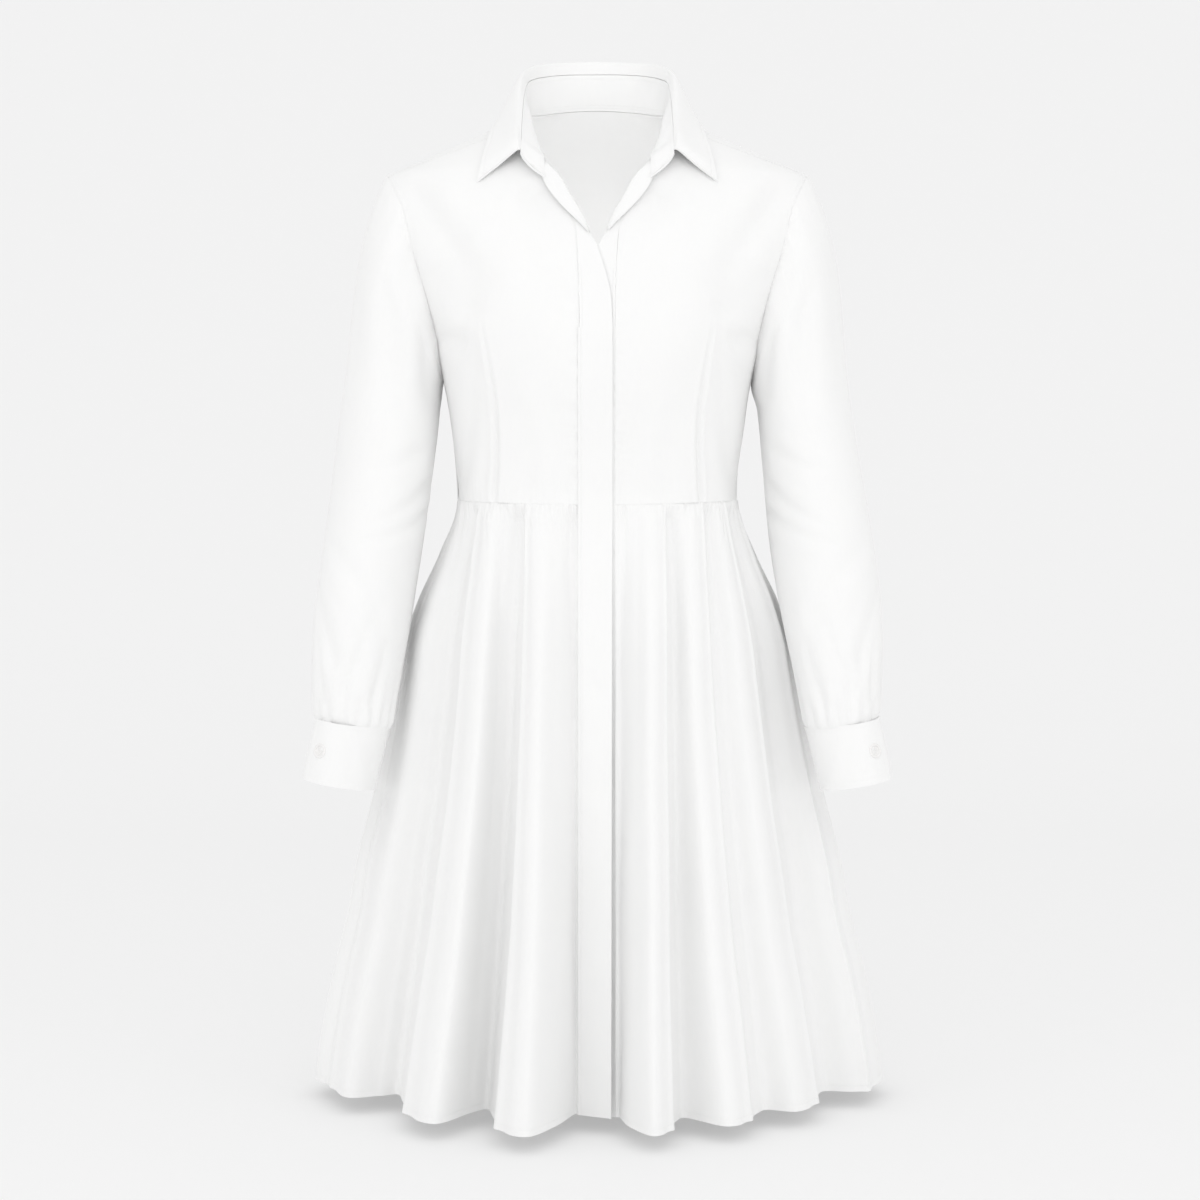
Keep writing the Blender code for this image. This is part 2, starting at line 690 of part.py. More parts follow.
def cuff_buttons():
    for word, side in SIDES:
        seat = ring_point(CUFF, side, BUTTON_ANGLE, 0.48, out=CUFF_LAYER)
        ahead = ring_point(CUFF, side, BUTTON_ANGLE + 4.0, 0.48, out=CUFF_LAYER) - seat
        below = ring_point(CUFF, side, BUTTON_ANGLE, 0.60, out=CUFF_LAYER) - seat
        outwards = ahead.cross(below).normalized()
        if outwards.y > 0.0:
            outwards = -outwards
        centre = settled(seat) + outwards * (BUTTON_THICK / 2.0 + 0.0002)
        bpy.ops.mesh.primitive_cylinder_add(
            vertices=24,
            radius=BUTTON_RADIUS,
            depth=BUTTON_THICK,
            location=centre,
            rotation=outwards.to_track_quat("Z", "Y").to_euler(),
        )
        button = bpy.context.object
        button.name = "cuff_button_" + word
        button.data.name = button.name
        for holder in list(button.users_collection):
            holder.objects.unlink(button)
        DRESS.objects.link(button)
        work = bmesh.new()
        work.from_mesh(button.data)
        work.faces.ensure_lookup_table()
        top = max(work.faces, key=lambda face: face.calc_center_median().z)
        bmesh.ops.inset_region(work, faces=[top], thickness=BUTTON_RIM)
        bmesh.ops.translate(work, verts=top.verts, vec=(0.0, 0.0, -0.0006))
        work.to_mesh(button.data)
        work.free()
        soften = button.modifiers.new("soft edge", "BEVEL")
        soften.width = 0.0006
        soften.segments = 2
        paint(button, (0.88, 0.87, 0.85), 0.35)


bodice_pieces()
sleeves()
cuffs()
skirt_pieces()
plackets()
collar()
cuff_buttons()
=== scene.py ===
import math

import bpy
import numpy as np
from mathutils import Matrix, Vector


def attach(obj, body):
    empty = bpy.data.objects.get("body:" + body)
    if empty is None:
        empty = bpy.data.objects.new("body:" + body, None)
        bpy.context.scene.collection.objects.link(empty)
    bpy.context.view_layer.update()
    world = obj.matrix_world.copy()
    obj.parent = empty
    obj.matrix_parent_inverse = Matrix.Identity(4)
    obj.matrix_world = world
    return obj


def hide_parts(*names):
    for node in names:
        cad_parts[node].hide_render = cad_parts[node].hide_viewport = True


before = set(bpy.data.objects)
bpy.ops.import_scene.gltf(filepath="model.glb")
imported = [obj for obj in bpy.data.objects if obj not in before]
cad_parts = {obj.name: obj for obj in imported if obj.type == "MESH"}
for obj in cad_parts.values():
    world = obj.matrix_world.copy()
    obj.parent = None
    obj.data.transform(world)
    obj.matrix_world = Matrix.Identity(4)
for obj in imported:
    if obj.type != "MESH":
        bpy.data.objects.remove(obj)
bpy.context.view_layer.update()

# ---------------------------------------------------------------- sizes, in metres
POPLIN = 0.0011            # bodice, sleeve and skirt cloth
BAND = 0.0013              # placket layers
COLLAR_CLOTH = 0.0016
CUFF_CLOTH = 0.0019
WAIST_SIDE, WAIST_CENTRE = -0.3725, -0.3760
HEM = -0.9330
UNDERARM, SHOULDER_TIP = -0.2560, -0.0595
SEAM_NECK, SEAM_TIP = 77.9, 85.0
PLACKET_EDGE, PLACKET_FREE = 0.0165, 0.0139
UPPER_PROUD, BAND_PROUD = 0.0017, 0.0017
ROLL = 0.0008
LAPPED = 0.0012            # how far the upper placket lies over the cloth it is sewn to
CUFF_LAP, CUFF_UNDER, CUFF_LAYER = 33.0, 26.0, 0.0026
BUTTON_ANGLE, BUTTON_RADIUS = 55.0, 0.0069
STITCH_PITCH, STITCH_LENGTH = 0.0030, 0.0023


def table(names, *rows):
    return dict(zip(names.split(), (np.array(column, float) for column in zip(*rows))))


BODY = table(
    "level   half_width front_depth back_depth",
    (0.0000, 0.0650, 0.0500, 0.0640),
    (-0.0120, 0.0923, 0.0580, 0.0700),
    (-0.0300, 0.1331, 0.0710, 0.0785),
    (-0.0500, 0.1786, 0.0845, 0.0865),
    (-0.0595, 0.1997, 0.0903, 0.0895),
    (-0.0720, 0.2085, 0.0960, 0.0925),
    (-0.0900, 0.2115, 0.1040, 0.0955),
    (-0.1100, 0.2055, 0.1105, 0.0980),
    (-0.1400, 0.1920, 0.1175, 0.1005),
    (-0.1750, 0.1760, 0.1225, 0.1015),
    (-0.2150, 0.1590, 0.1250, 0.1010),
    (-0.2560, 0.1475, 0.1220, 0.0990),
    (-0.2970, 0.1405, 0.1130, 0.0960),
    (-0.3410, 0.1352, 0.1040, 0.0930),
    (-0.3725, 0.1340, 0.1000, 0.0920),
    (-0.3900, 0.1340, 0.1000, 0.0920),
)
ARMHOLE = table(
    "level   front_x back_x",
    (-0.0595, 0.1997, 0.1997),
    (-0.0654, 0.1962, 0.1972),
    (-0.0800, 0.1890, 0.1920),
    (-0.0980, 0.1815, 0.1870),
    (-0.1420, 0.1705, 0.1785),
    (-0.1820, 0.1595, 0.1690),
    (-0.2230, 0.1515, 0.1560),
    (-0.2560, 0.1475, 0.1475),
)
FRONT = table(
    "level   inner_level inner_x",
    (-0.3725, -0.3760, 0.0165),
    (-0.3410, -0.3410, 0.0165),
    (-0.2970, -0.2970, 0.0165),
    (-0.2560, -0.2560, 0.0165),
    (-0.2150, -0.2050, 0.0165),
    (-0.1800, -0.1600, 0.0172),
    (-0.1580, -0.1326, 0.0188),
    (-0.1380, -0.1080, 0.0206),
    (-0.1200, -0.0925, 0.0222),
    (-0.1000, -0.0685, 0.0348),
    (-0.0840, -0.0478, 0.0495),
    (-0.0700, -0.0253, 0.0582),
    (-0.0595, 0.0000, 0.0637),
)
SLEEVE = table(
    "place centre_x centre_y level half_width half_depth rise",
    (0.30, 0.1968, 0.000, -0.2780, 0.0436, 0.0600, 0.0080),
    (0.44, 0.2034, -0.005, -0.3330, 0.0461, 0.0600, 0.0030),
    (0.62, 0.2125, -0.016, -0.4065, 0.0473, 0.0575, 0.0020),
    (0.76, 0.2205, -0.030, -0.4665, 0.0455, 0.0530, 0.0020),
    (0.92, 0.2285, -0.044, -0.5379, 0.0395, 0.0450, 0.0040),
    (1.00, 0.2312, -0.050, -0.5792, 0.0336, 0.0376, 0.0048),
)
CUFF = table(
    "place centre_x centre_y level half_width half_depth rise",
    (0.00, 0.2313, -0.0501, -0.5786, 0.0338, 0.0378, 0.0048),
    (1.00, 0.2443, -0.0580, -0.6350, 0.0320, 0.0362, 0.0060),
)
COLLAR = table(
    "foot_x foot_y foot_z  seam_x seam_y seam_z  fold_x fold_y fold_z  "
    "mid_x mid_y mid_z  edge_x edge_y edge_z",
    (0.0000, 0.0640, 0.0106, 0.0000, 0.0665, 0.0455, 0.0000, 0.0705, 0.0577,
     0.0000, 0.0780, 0.0330, 0.0000, 0.0845, 0.0030),
    (0.0360, 0.0552, 0.0080, 0.0380, 0.0570, 0.0435, 0.0400, 0.0612, 0.0555,
     0.0462, 0.0695, 0.0310, 0.0520, 0.0762, 0.0020),
    (0.0580, 0.0330, 0.0036, 0.0615, 0.0310, 0.0365, 0.0648, 0.0330, 0.0480,
     0.0755, 0.0400, 0.0240, 0.0850, 0.0450, -0.0030),
    (0.0650, -0.0010, 0.0008, 0.0687, -0.0020, 0.0245, 0.0748, 0.0000, 0.0310,
     0.0870, 0.0040, 0.0115, 0.0972, 0.0060, -0.0085),
    (0.0578, -0.0612, -0.0246, 0.0702, -0.0530, -0.0095, 0.0763, -0.0545, -0.0120,
     0.0890, -0.0500, -0.0190, 0.1005, -0.0440, -0.0225),
    (0.0490, -0.0868, -0.0478, 0.0705, -0.0790, -0.0330, 0.0765, -0.0810, -0.0310,
     0.0930, -0.0800, -0.0440, 0.1075, -0.0765, -0.0530),
    (0.0520, -0.0945, -0.0600, 0.0708, -0.0872, -0.0425, 0.0752, -0.0890, -0.0440,
     0.0925, -0.0885, -0.0580, 0.1108, -0.0872, -0.0715),
)
SPREAD = table(
    "drop side_share",
    (0.000, 0.000),
    (0.012, 0.002),
    (0.095, 0.125),
    (0.170, 0.270),
    (0.240, 0.370),
    (0.300, 0.415),
    (0.480, 0.570),
    (0.625, 0.715),
    (0.700, 0.765),
    (0.810, 0.875),
    (0.960, 0.985),
    (1.000, 1.000),
)
FOLDS_RIGHT = table(
    "waist hem_x hem_y",
    (5.7, -0.0165, -0.1270),
    (8.2, -0.0225, -0.1280),
    (13.6, -0.0380, -0.1730),
    (20.6, -0.0640, -0.2125),
    (27.0, -0.0930, -0.1820),
    (31.5, -0.1010, -0.1100),
    (38.0, -0.1180, -0.1190),
    (45.0, -0.1500, -0.1630),
    (54.0, -0.1810, -0.1210),
    (60.0, -0.1890, -0.0500),
    (67.0, -0.2080, -0.0520),
    (75.0, -0.2380, -0.0590),
    (83.0, -0.2560, -0.0180),
    (90.0, -0.2750, 0.0200),
)
FOLDS_LEFT = table(
    "waist hem_x hem_y",
    (5.7, 0.0165, -0.1365),
    (8.4, 0.0215, -0.1405),
    (13.6, 0.0300, -0.1760),
    (19.0, 0.0500, -0.2090),
    (25.5, 0.0680, -0.1870),
    (29.5, 0.0790, -0.1400),
    (37.0, 0.1180, -0.1720),
    (45.0, 0.1416, -0.1510),
    (50.0, 0.1560, -0.1100),
    (57.0, 0.1870, -0.1156),
    (63.0, 0.2087, -0.0820),
    (69.0, 0.2160, -0.0330),
    (79.0, 0.2600, -0.0330),
    (90.0, 0.2786, 0.0250),
)
FOLDS_BACK = table(
    "waist hem_x hem_y",
    (90.0, 0.2786, 0.0250),
    (100.0, 0.2640, 0.0680),
    (110.0, 0.2140, 0.0830),
    (121.0, 0.2210, 0.1430),
    (131.0, 0.1600, 0.1300),
    (142.0, 0.1480, 0.1990),
    (152.0, 0.1000, 0.1520),
    (162.0, 0.0700, 0.2170),
    (171.0, 0.0340, 0.1610),
    (180.0, -0.0040, 0.2190),
    (189.0, -0.0380, 0.1590),
    (199.0, -0.0780, 0.2140),
    (209.0, -0.1020, 0.1500),
    (219.0, -0.1500, 0.1960),
    (229.0, -0.1580, 0.1290),
    (239.0, -0.2220, 0.1400),
    (250.0, -0.2120, 0.0820),
    (260.0, -0.2620, 0.0700),
    (270.0, -0.2750, 0.0200),
)
BAND_UPPER = table(
    "row  sewn_x sewn_z  roll_x roll_z  free_x free_z",
    (0.00, -0.0162, -0.2100, 0.0139, -0.2100, 0.0139, -0.2100),
    (0.16, -0.0163, -0.1820, 0.0124, -0.1820, 0.0124, -0.1820),
    (0.28, -0.0168, -0.1620, 0.0087, -0.1634, 0.0087, -0.1634),
    (0.38, -0.0176, -0.1460, 0.0041, -0.1480, 0.0040, -0.1480),
    (0.48, -0.0186, -0.1300, -0.0012, -0.1326, -0.0016, -0.1328),
    (0.60, -0.0198, -0.1140, -0.0106, -0.1143, -0.0125, -0.1160),
    (0.70, -0.0206, -0.1000, -0.0180, -0.0990, -0.0260, -0.1030),
    (0.80, -0.0278, -0.0860, -0.0262, -0.0850, -0.0385, -0.0890),
    (0.90, -0.0362, -0.0690, -0.0350, -0.0682, -0.0470, -0.0765),
    (1.00, -0.0500, -0.0540, -0.0496, -0.0536, -0.0530, -0.0619),
)
BAND_UNDER = table(
    "row  sewn_x sewn_z  roll_x roll_z  free_x free_z",
    (0.00, 0.0162, -0.2100, -0.0130, -0.2100, -0.0130, -0.2100),
    (0.16, 0.0163, -0.1820, -0.0130, -0.1820, -0.0130, -0.1820),
    (0.28, 0.0168, -0.1620, -0.0115, -0.1620, -0.0115, -0.1620),
    (0.38, 0.0176, -0.1460, -0.0050, -0.1460, -0.0050, -0.1460),
    (0.48, 0.0186, -0.1300, 0.0040, -0.1290, 0.0044, -0.1292),
    (0.60, 0.0198, -0.1140, 0.0115, -0.1130, 0.0142, -0.1145),
    (0.70, 0.0206, -0.1000, 0.0185, -0.0985, 0.0268, -0.1020),
    (0.80, 0.0278, -0.0860, 0.0262, -0.0850, 0.0390, -0.0885),
    (0.90, 0.0362, -0.0690, 0.0350, -0.0682, 0.0472, -0.0765),
    (1.00, 0.0500, -0.0540, 0.0496, -0.0536, 0.0532, -0.0619),
)

SETTLE = table(
    "level   lift",
    (0.0700, 0.0000),
    (-0.0600, 0.0000),
    (-0.1326, 0.0024),
    (-0.2500, 0.0045),
    (-0.3743, 0.0065),
    (-0.5000, 0.0045),
    (-0.6400, 0.0024),
    (-0.8000, 0.0008),
    (-0.9400, 0.0000),
)

# creases of the bodice, seen square on: from one end to the other, how wide, how deep
# (minus is a ridge), and how strong at either end
CREASES_FRONT = table(
    "x0 z0 x1 z1 wide deep start end",
    # darts
    (0.1060, -0.213, 0.0965, -0.374, 0.0022, 0.0034, 0.3, 1.0),
    (0.1150, -0.214, 0.1330, -0.374, 0.0060, 0.0022, 0.3, 0.9),
    (0.1010, -0.230, 0.0880, -0.374, 0.0070, -0.0012, 0.2, 1.0),
    # from the bust to the armhole and shoulder
    (0.1180, -0.200, 0.1530, -0.150, 0.0110, 0.0034, 0.8, 0.4),
    (0.1230, -0.225, 0.1500, -0.215, 0.0090, 0.0030, 0.8, 0.4),
    (0.1020, -0.180, 0.1280, -0.090, 0.0150, 0.0026, 0.9, 0.2),
    # hollow beneath the turned-out bands, and the pull from bust to armhole
    (0.0640, -0.078, 0.0260, -0.145, 0.0130, 0.0052, 0.9, 0.4),
    (0.1720, -0.078, 0.1120, -0.195, 0.0130, 0.0062, 0.8, 0.3),
    # below the collar
    (0.0650, -0.095, 0.0700, -0.200, 0.0120, 0.0014, 1.0, 0.2),
    (0.0900, -0.100, 0.0950, -0.170, 0.0100, 0.0010, 0.9, 0.2),
    # beside the placket, down to the waist
    (0.0450, -0.260, 0.0380, -0.374, 0.0110, 0.0016, 0.2, 1.0),
    (0.0700, -0.280, 0.0640, -0.374, 0.0080, 0.0014, 0.1, 1.0),
    (0.0280, -0.300, 0.0270, -0.374, 0.0060, 0.0012, 0.1, 1.0),
)
CREASES_BACK = table(
    "x0 z0 x1 z1 wide deep start end",
    (0.0600, -0.180, 0.0560, -0.372, 0.0110, 0.0024, 0.1, 1.0),
    (-0.0620, -0.190, -0.0560, -0.372, 0.0110, 0.0024, 0.1, 1.0),
    (0.0900, -0.200, 0.0900, -0.372, 0.0090, 0.0016, 0.1, 1.0),
    (-0.0880, -0.220, -0.0900, -0.372, 0.0090, 0.0018, 0.1, 1.0),
    (0.0100, -0.250, 0.0140, -0.372, 0.0120, 0.0016, 0.1, 1.0),
    (-0.0280, -0.260, -0.0240, -0.372, 0.0090, 0.0014, 0.1, 1.0),
    (0.1500, -0.120, 0.1150, -0.230, 0.0130, 0.0026, 0.9, 0.1),
    (-0.1500, -0.110, -0.1180, -0.240, 0.0130, 0.0026, 0.9, 0.1),
    (0.0450, -0.030, 0.0950, -0.110, 0.0150, 0.0014, 0.9, 0.1),
    (-0.0450, -0.032, -0.0920, -0.120, 0.0150, 0.0014, 0.9, 0.1),
    (0.1150, -0.330, 0.0700, -0.350, 0.0070, 0.0014, 0.9, 0.2),
    (-0.1150, -0.325, -0.0650, -0.345, 0.0070, 0.0014, 0.9, 0.2),
)
# creases of a sleeve, laid out flat: distance round from the outer side towards the
# front, and distance down from the armhole
CREASES_SLEEVE = table(
    "x0 z0 x1 z1 wide deep start end",
    (0.060, 0.060, 0.095, 0.190, 0.0130, 0.0034, 0.9, 0.2),
    (0.105, 0.040, 0.130, 0.150, 0.0110, 0.0034, 0.9, 0.2),
    (0.020, 0.050, 0.030, 0.200, 0.0120, 0.0020, 0.7, 0.1),
    (0.150, 0.270, 0.075, 0.330, 0.0085, 0.0034, 1.0, 0.1),
    (0.155, 0.305, 0.060, 0.350, 0.0080, 0.0030, 1.0, 0.1),
    (0.130, 0.225, 0.070, 0.260, 0.0090, 0.0022, 1.0, 0.1),
    (0.040, 0.350, 0.110, 0.440, 0.0100, 0.0028, 0.3, 0.9),
    (0.010, 0.390, 0.060, 0.490, 0.0090, 0.0030, 0.1, 1.0),
    (0.095, 0.430, 0.070, 0.520, 0.0070, 0.0030, 0.1, 1.0),
    (0.030, 0.450, 0.040, 0.525, 0.0050, 0.0026, 0.1, 1.0),
    (0.120, 0.450, 0.110, 0.525, 0.0060, 0.0026, 0.1, 1.0),
    (0.012, 0.400, 0.012, 0.530, 0.0016, 0.0016, 0.8, 1.0),
    (-0.060, 0.060, -0.100, 0.180, 0.0130, 0.0030, 0.9, 0.2),
    (-0.110, 0.230, -0.050, 0.310, 0.0100, 0.0026, 0.9, 0.1),
    (-0.040, 0.420, -0.060, 0.525, 0.0080, 0.0028, 0.1, 1.0),
    (-0.090, 0.440, -0.100, 0.525, 0.0060, 0.0026, 0.1, 1.0),
)


# ---------------------------------------------------------------- reading tables
def read(tab, column, at, along="level"):
    """Column at places along another, on a curve that never overshoots."""
    order = np.argsort(tab[along])
    xs, ys = tab[along][order], tab[column][order]
    at = np.clip(at, xs[0], xs[-1])
    i = np.clip(np.searchsorted(xs, at, side="right") - 1, 0, len(xs) - 2)
    widths = np.diff(xs)
    slopes = np.diff(ys) / widths
    lean = np.zeros(len(xs))
    product = slopes[:-1] * slopes[1:]
    total = slopes[:-1] + slopes[1:]
    same = product > 0.0
    lean[1:-1][same] = 2.0 * product[same] / total[same]
    lean[0], lean[-1] = slopes[0], slopes[-1]
    h = widths[i]
    t = (at - xs[i]) / h
    return (
        ys[i] * (1.0 + 2.0 * t) * (1.0 - t) ** 2
        + ys[i + 1] * t * t * (3.0 - 2.0 * t)
        + h * lean[i] * t * (1.0 - t) ** 2
        + h * lean[i + 1] * t * t * (t - 1.0)
    )


def through(a, b, c, d, t):
    """Rounded curve from b to c, led by a before and d after."""
    bend = 2.0 * a - 5.0 * b + 4.0 * c - d
    twist = 3.0 * b - a - 3.0 * c + d
    return 0.5 * (2.0 * b + (c - a) * t + bend * t * t + twist * t**3)


def flowing(values, place):
    """Rounded curve through evenly numbered values."""
    values = np.asarray(values, float)
    last = len(values) - 1
    i = np.clip(np.floor(place).astype(int), 0, last - 1)
    t = place - i
    b, c = values[i], values[i + 1]
    a = np.where(i > 0, values[np.maximum(i - 1, 0)], 2.0 * b - c)
    d = np.where(i + 2 <= last, values[np.minimum(i + 2, last)], 2.0 * c - b)
    return through(a, b, c, d, t)


def folding(values, place, crisp):
    """Rounded curve through evenly numbered values, with an edge at the crisp ones."""
    values = np.asarray(values, float)
    i = np.clip(np.floor(place).astype(int), 0, len(values) - 2)
    straight = values[i] + (values[i + 1] - values[i]) * (place - i)
    sharp = np.zeros(np.shape(place))
    for station in crisp:
        sharp = np.maximum(sharp, np.exp(-(((place - station) / 0.42) ** 4)))
    round_one = flowing(values, place)
    return round_one + (straight - round_one) * 0.85 * sharp


def mix(a, b, t):
    return a + (b - a) * t


def smooth(t):
    t = np.clip(t, 0.0, 1.0)
    return t * t * (3.0 - 2.0 * t)


def ripple(seed, *ways):
    """Gentle uneven waves: a few sines with fixed, unrelated turns."""
    total = 0.0
    for k in range(4):
        turn = seed * 1.7 + k * 2.39
        total = total + math.cos(turn * 3.1 + 0.4) * np.sin(
            sum(way * (0.7 + 0.55 * k + 0.31 * math.sin(turn + j)) for j, way in enumerate(ways)) + turn
        )
    return total / 2.2


# ---------------------------------------------------------------- forms
def body(degrees, level):
    degrees, level = np.broadcast_arrays(degrees, level)
    turn = np.radians(degrees)
    s, c = np.sin(turn), np.cos(turn)
    front = c >= 0.0
    fullness = np.where(front, 2.2, 2.3)
    depth = np.where(front, read(BODY, "front_depth", level), read(BODY, "back_depth", level))
    x = read(BODY, "half_width", level) * np.sign(s) * np.abs(s) ** (2.0 / fullness)
    y = -np.sign(c) * depth * np.abs(c) ** (2.0 / fullness)
    away = np.hypot(np.abs(x) - 0.088, level + 0.215) / 0.048
    y = y - np.where(front, 0.005 * np.exp(-away * away), 0.0)
    z = level + np.where(front, 0.0, 0.010 * c * c * np.maximum(0.0, 1.0 + level / 0.06) ** 2)
    return np.stack([x, y, z], axis=-1)


def angle_at(x, level, fullness=2.2):
    share = np.minimum(np.abs(x) / read(BODY, "half_width", level), 1.0)
    return np.degrees(np.arcsin(share ** (fullness / 2.0)))


def on_front(x, level):
    return body(np.sign(x) * angle_at(x, level), level)


def front_point(side, u, level):
    inner_level = read(FRONT, "inner_level", level)
    inner = angle_at(read(FRONT, "inner_x", level), inner_level)
    outer = np.where(level > UNDERARM, angle_at(read(ARMHOLE, "front_x", level), level), 90.0)
    near_tip = smooth((level - SHOULDER_TIP + 0.0012) / 0.0012)
    outer = mix(outer, SEAM_TIP, near_tip)
    return body(side * mix(inner, outer, u), mix(inner_level, level, u))


def back_point(u, level):
    armhole = angle_at(read(ARMHOLE, "back_x", level), level, 2.3)
    shoulder = 180.0 - mix(SEAM_NECK, SEAM_TIP, np.clip(level / SHOULDER_TIP, 0.0, 1.0))
    reach = np.where(level > UNDERARM, armhole, 90.0)
    reach = mix(reach, shoulder, smooth((level - SHOULDER_TIP + 0.0012) / 0.0012))
    return body(180.0 - reach * u, level)


def armhole_point(side, degrees):
    turn = np.radians(degrees)
    level = mix(SHOULDER_TIP, UNDERARM, (1.0 - np.cos(turn)) / 2.0)
    front = body(side * angle_at(read(ARMHOLE, "front_x", level), level), level)
    back = body(side * (180.0 - angle_at(read(ARMHOLE, "back_x", level), level, 2.3)), level)
    return np.where((degrees <= 180.0)[..., None], front, back)


def ring_point(tab, side, degrees, place, out=0.0):
    turn = np.radians(degrees)
    c, s = np.cos(turn), np.sin(turn)
    x = read(tab, "centre_x", place, "place") + (read(tab, "half_width", place, "place") + out) * c
    y = read(tab, "centre_y", place, "place") - (read(tab, "half_depth", place, "place") + out) * s
    z = read(tab, "level", place, "place") + read(tab, "rise", place, "place") * c
    x, y, z = np.broadcast_arrays(side * x, y, z)
    return np.stack([x, y, z], axis=-1)


def sleeve_point(side, degrees, place):
    degrees, place = np.broadcast_arrays(np.asarray(degrees, float), np.asarray(place, float))
    top = SLEEVE["place"][0]
    lower = ring_point(SLEEVE, side, degrees, np.maximum(place, top))
    start = armhole_point(side, np.mod(degrees, 360.0))
    end = ring_point(SLEEVE, side, degrees, np.full(degrees.shape, top))
    after = ring_point(SLEEVE, side, degrees, np.full(degrees.shape, top + 0.02))
    span = np.linalg.norm(end - start, axis=-1)[..., None]
    turn = np.radians(degrees)
    outwards = 0.5 + 0.5 * np.cos(turn)
    leave = np.stack(
        [side * mix(0.10, 0.46, outwards), -0.45 * np.sin(turn), mix(-1.0, -0.88, outwards)], axis=-1
    )
    leave /= np.linalg.norm(leave, axis=-1)[..., None]
    arrive = after - end
    arrive /= np.linalg.norm(arrive, axis=-1)[..., None]
    t = np.clip(place / top, 0.0, 1.0)[..., None]
    upper = (
        start * (1.0 + 2.0 * t) * (1.0 - t) ** 2
        + end * t * t * (3.0 - 2.0 * t)
        + leave * span * t * (1.0 - t) ** 2
        + arrive * span * t * t * (t - 1.0)
    )
    return np.where((place >= top)[..., None], lower, upper)


# where the waist is pinched into a gather, across the front and the back
GATHERS_FRONT = (-0.1180, -0.1015, -0.0777, -0.0693, -0.0253, 0.0253, 0.0620, 0.0830, 0.1010, 0.1180)
GATHERS_BACK = (-0.1130, -0.0860, -0.0610, -0.0330, -0.0120, 0.0170, 0.0430, 0.0720, 0.0910, 0.1160)
# stations of each panel where a fold's outer edge is crisp
CREST_EDGES = {(14, -1.0): (4, 8, 12), (14, 1.0): (4, 7, 10, 12), (19, 1.0): (3, 5, 9, 13, 17)}


def skirt_point(folds, u, drop, sign):
    place = u * (len(folds["waist"]) - 1)
    crisp = CREST_EDGES[len(folds["waist"]), sign]
    degrees = flowing(folds["waist"], place)
    waist = body(sign * degrees, WAIST_SIDE)
    level = mix(WAIST_CENTRE, WAIST_SIDE, np.clip((degrees - 5.7) / 84.3, 0.0, 1.0))
    outwards = read(SPREAD, "side_share", drop, "drop")
    at_side = np.abs(np.sin(np.radians(degrees))) ** 3
    across = mix(np.maximum(drop - 0.012, 0.0) ** 2, outwards, at_side)
    hem_x, hem_y = folding(folds["hem_x"], place, crisp), folding(folds["hem_y"], place, crisp)
    x = mix(waist[..., 0], hem_x, across)
    y = mix(waist[..., 1], hem_y, outwards)
    z = mix(level, HEM, drop)
    x, y, z = np.broadcast_arrays(x, y, z)
    return np.stack([x, y, z], axis=-1)


def neck_edge(station):
    side = np.where(station >= 0.0, 1.0, -1.0)
    place = np.abs(station)
    back = body(side * (180.0 - 30.0 * np.minimum(place, 3.0)), 0.0)
    turn = body(side * mix(90.0, SEAM_NECK, np.clip((place - 3.0) / 0.2, 0.0, 1.0)), 0.0)
    level = mix(SHOULDER_TIP, -0.0840, np.clip((place - 3.2) / 1.8, 0.0, 1.0))
    inner_level = read(FRONT, "inner_level", level)
    front = body(side * angle_at(read(FRONT, "inner_x", level), inner_level), inner_level)
    return np.where((place <= 3.0)[..., None], back, np.where((place <= 3.2)[..., None], turn, front))


def collar_line(name, station):
    place = np.abs(station)
    side = np.where(station >= 0.0, 1.0, -1.0)

    def column(axis):
        values = COLLAR[name + axis]
        mirrored = (-values if axis == "_x" else values)[:0:-1]
        return flowing(np.concatenate([mirrored, values]), 6.0 + place)

    point = np.stack([side * column("_x"), column("_y"), column("_z")], axis=-1)
    if name == "foot":
        blend = smooth((5.2 - place) / 0.4)[..., None]
        point = mix(point, neck_edge(station), blend)
    return point


def settled(points):
    points = np.array(points, float)
    points[..., 2] += read(SETTLE, "lift", points[..., 2])
    return points


# ---------------------------------------------------------------- cloth
def normals_of(points):
    along_u = np.gradient(points, axis=1)
    along_v = np.gradient(points, axis=0)
    n = np.cross(along_u, along_v)
    length = np.linalg.norm(n, axis=-1)
    return n / np.maximum(length, 1e-12)[..., None]


def creased(flat_x, flat_z, creases, mirror=1.0):
    """How far the cloth moves out, from a table of creases on a flat plan."""
    total = np.zeros(np.broadcast(flat_x, flat_z).shape)
    for x0, z0, x1, z1, wide, deep, start, end in zip(*creases.values()):
        x0, x1 = mirror * x0, mirror * x1
        dx, dz = x1 - x0, z1 - z0
        length = math.hypot(dx, dz)
        t = ((flat_x - x0) * dx + (flat_z - z0) * dz) / length**2
        bow = 0.04 * length * np.sin(np.clip(t, 0.0, 1.0) * math.pi)
        off = ((flat_x - x0) * dz - (flat_z - z0) * dx) / length - bow
        strength = mix(start, end, np.clip(t, 0.0, 1.0))
        strength = strength * smooth((t + 0.12) / 0.24) * smooth((1.12 - t) / 0.24)
        near = off / (wide * (0.75 + 0.5 * strength))
        lip = 0.35 * np.exp(-((np.abs(near) - 1.9) ** 2))
        total -= deep * strength * (np.exp(-near * near) - lip)
    return total


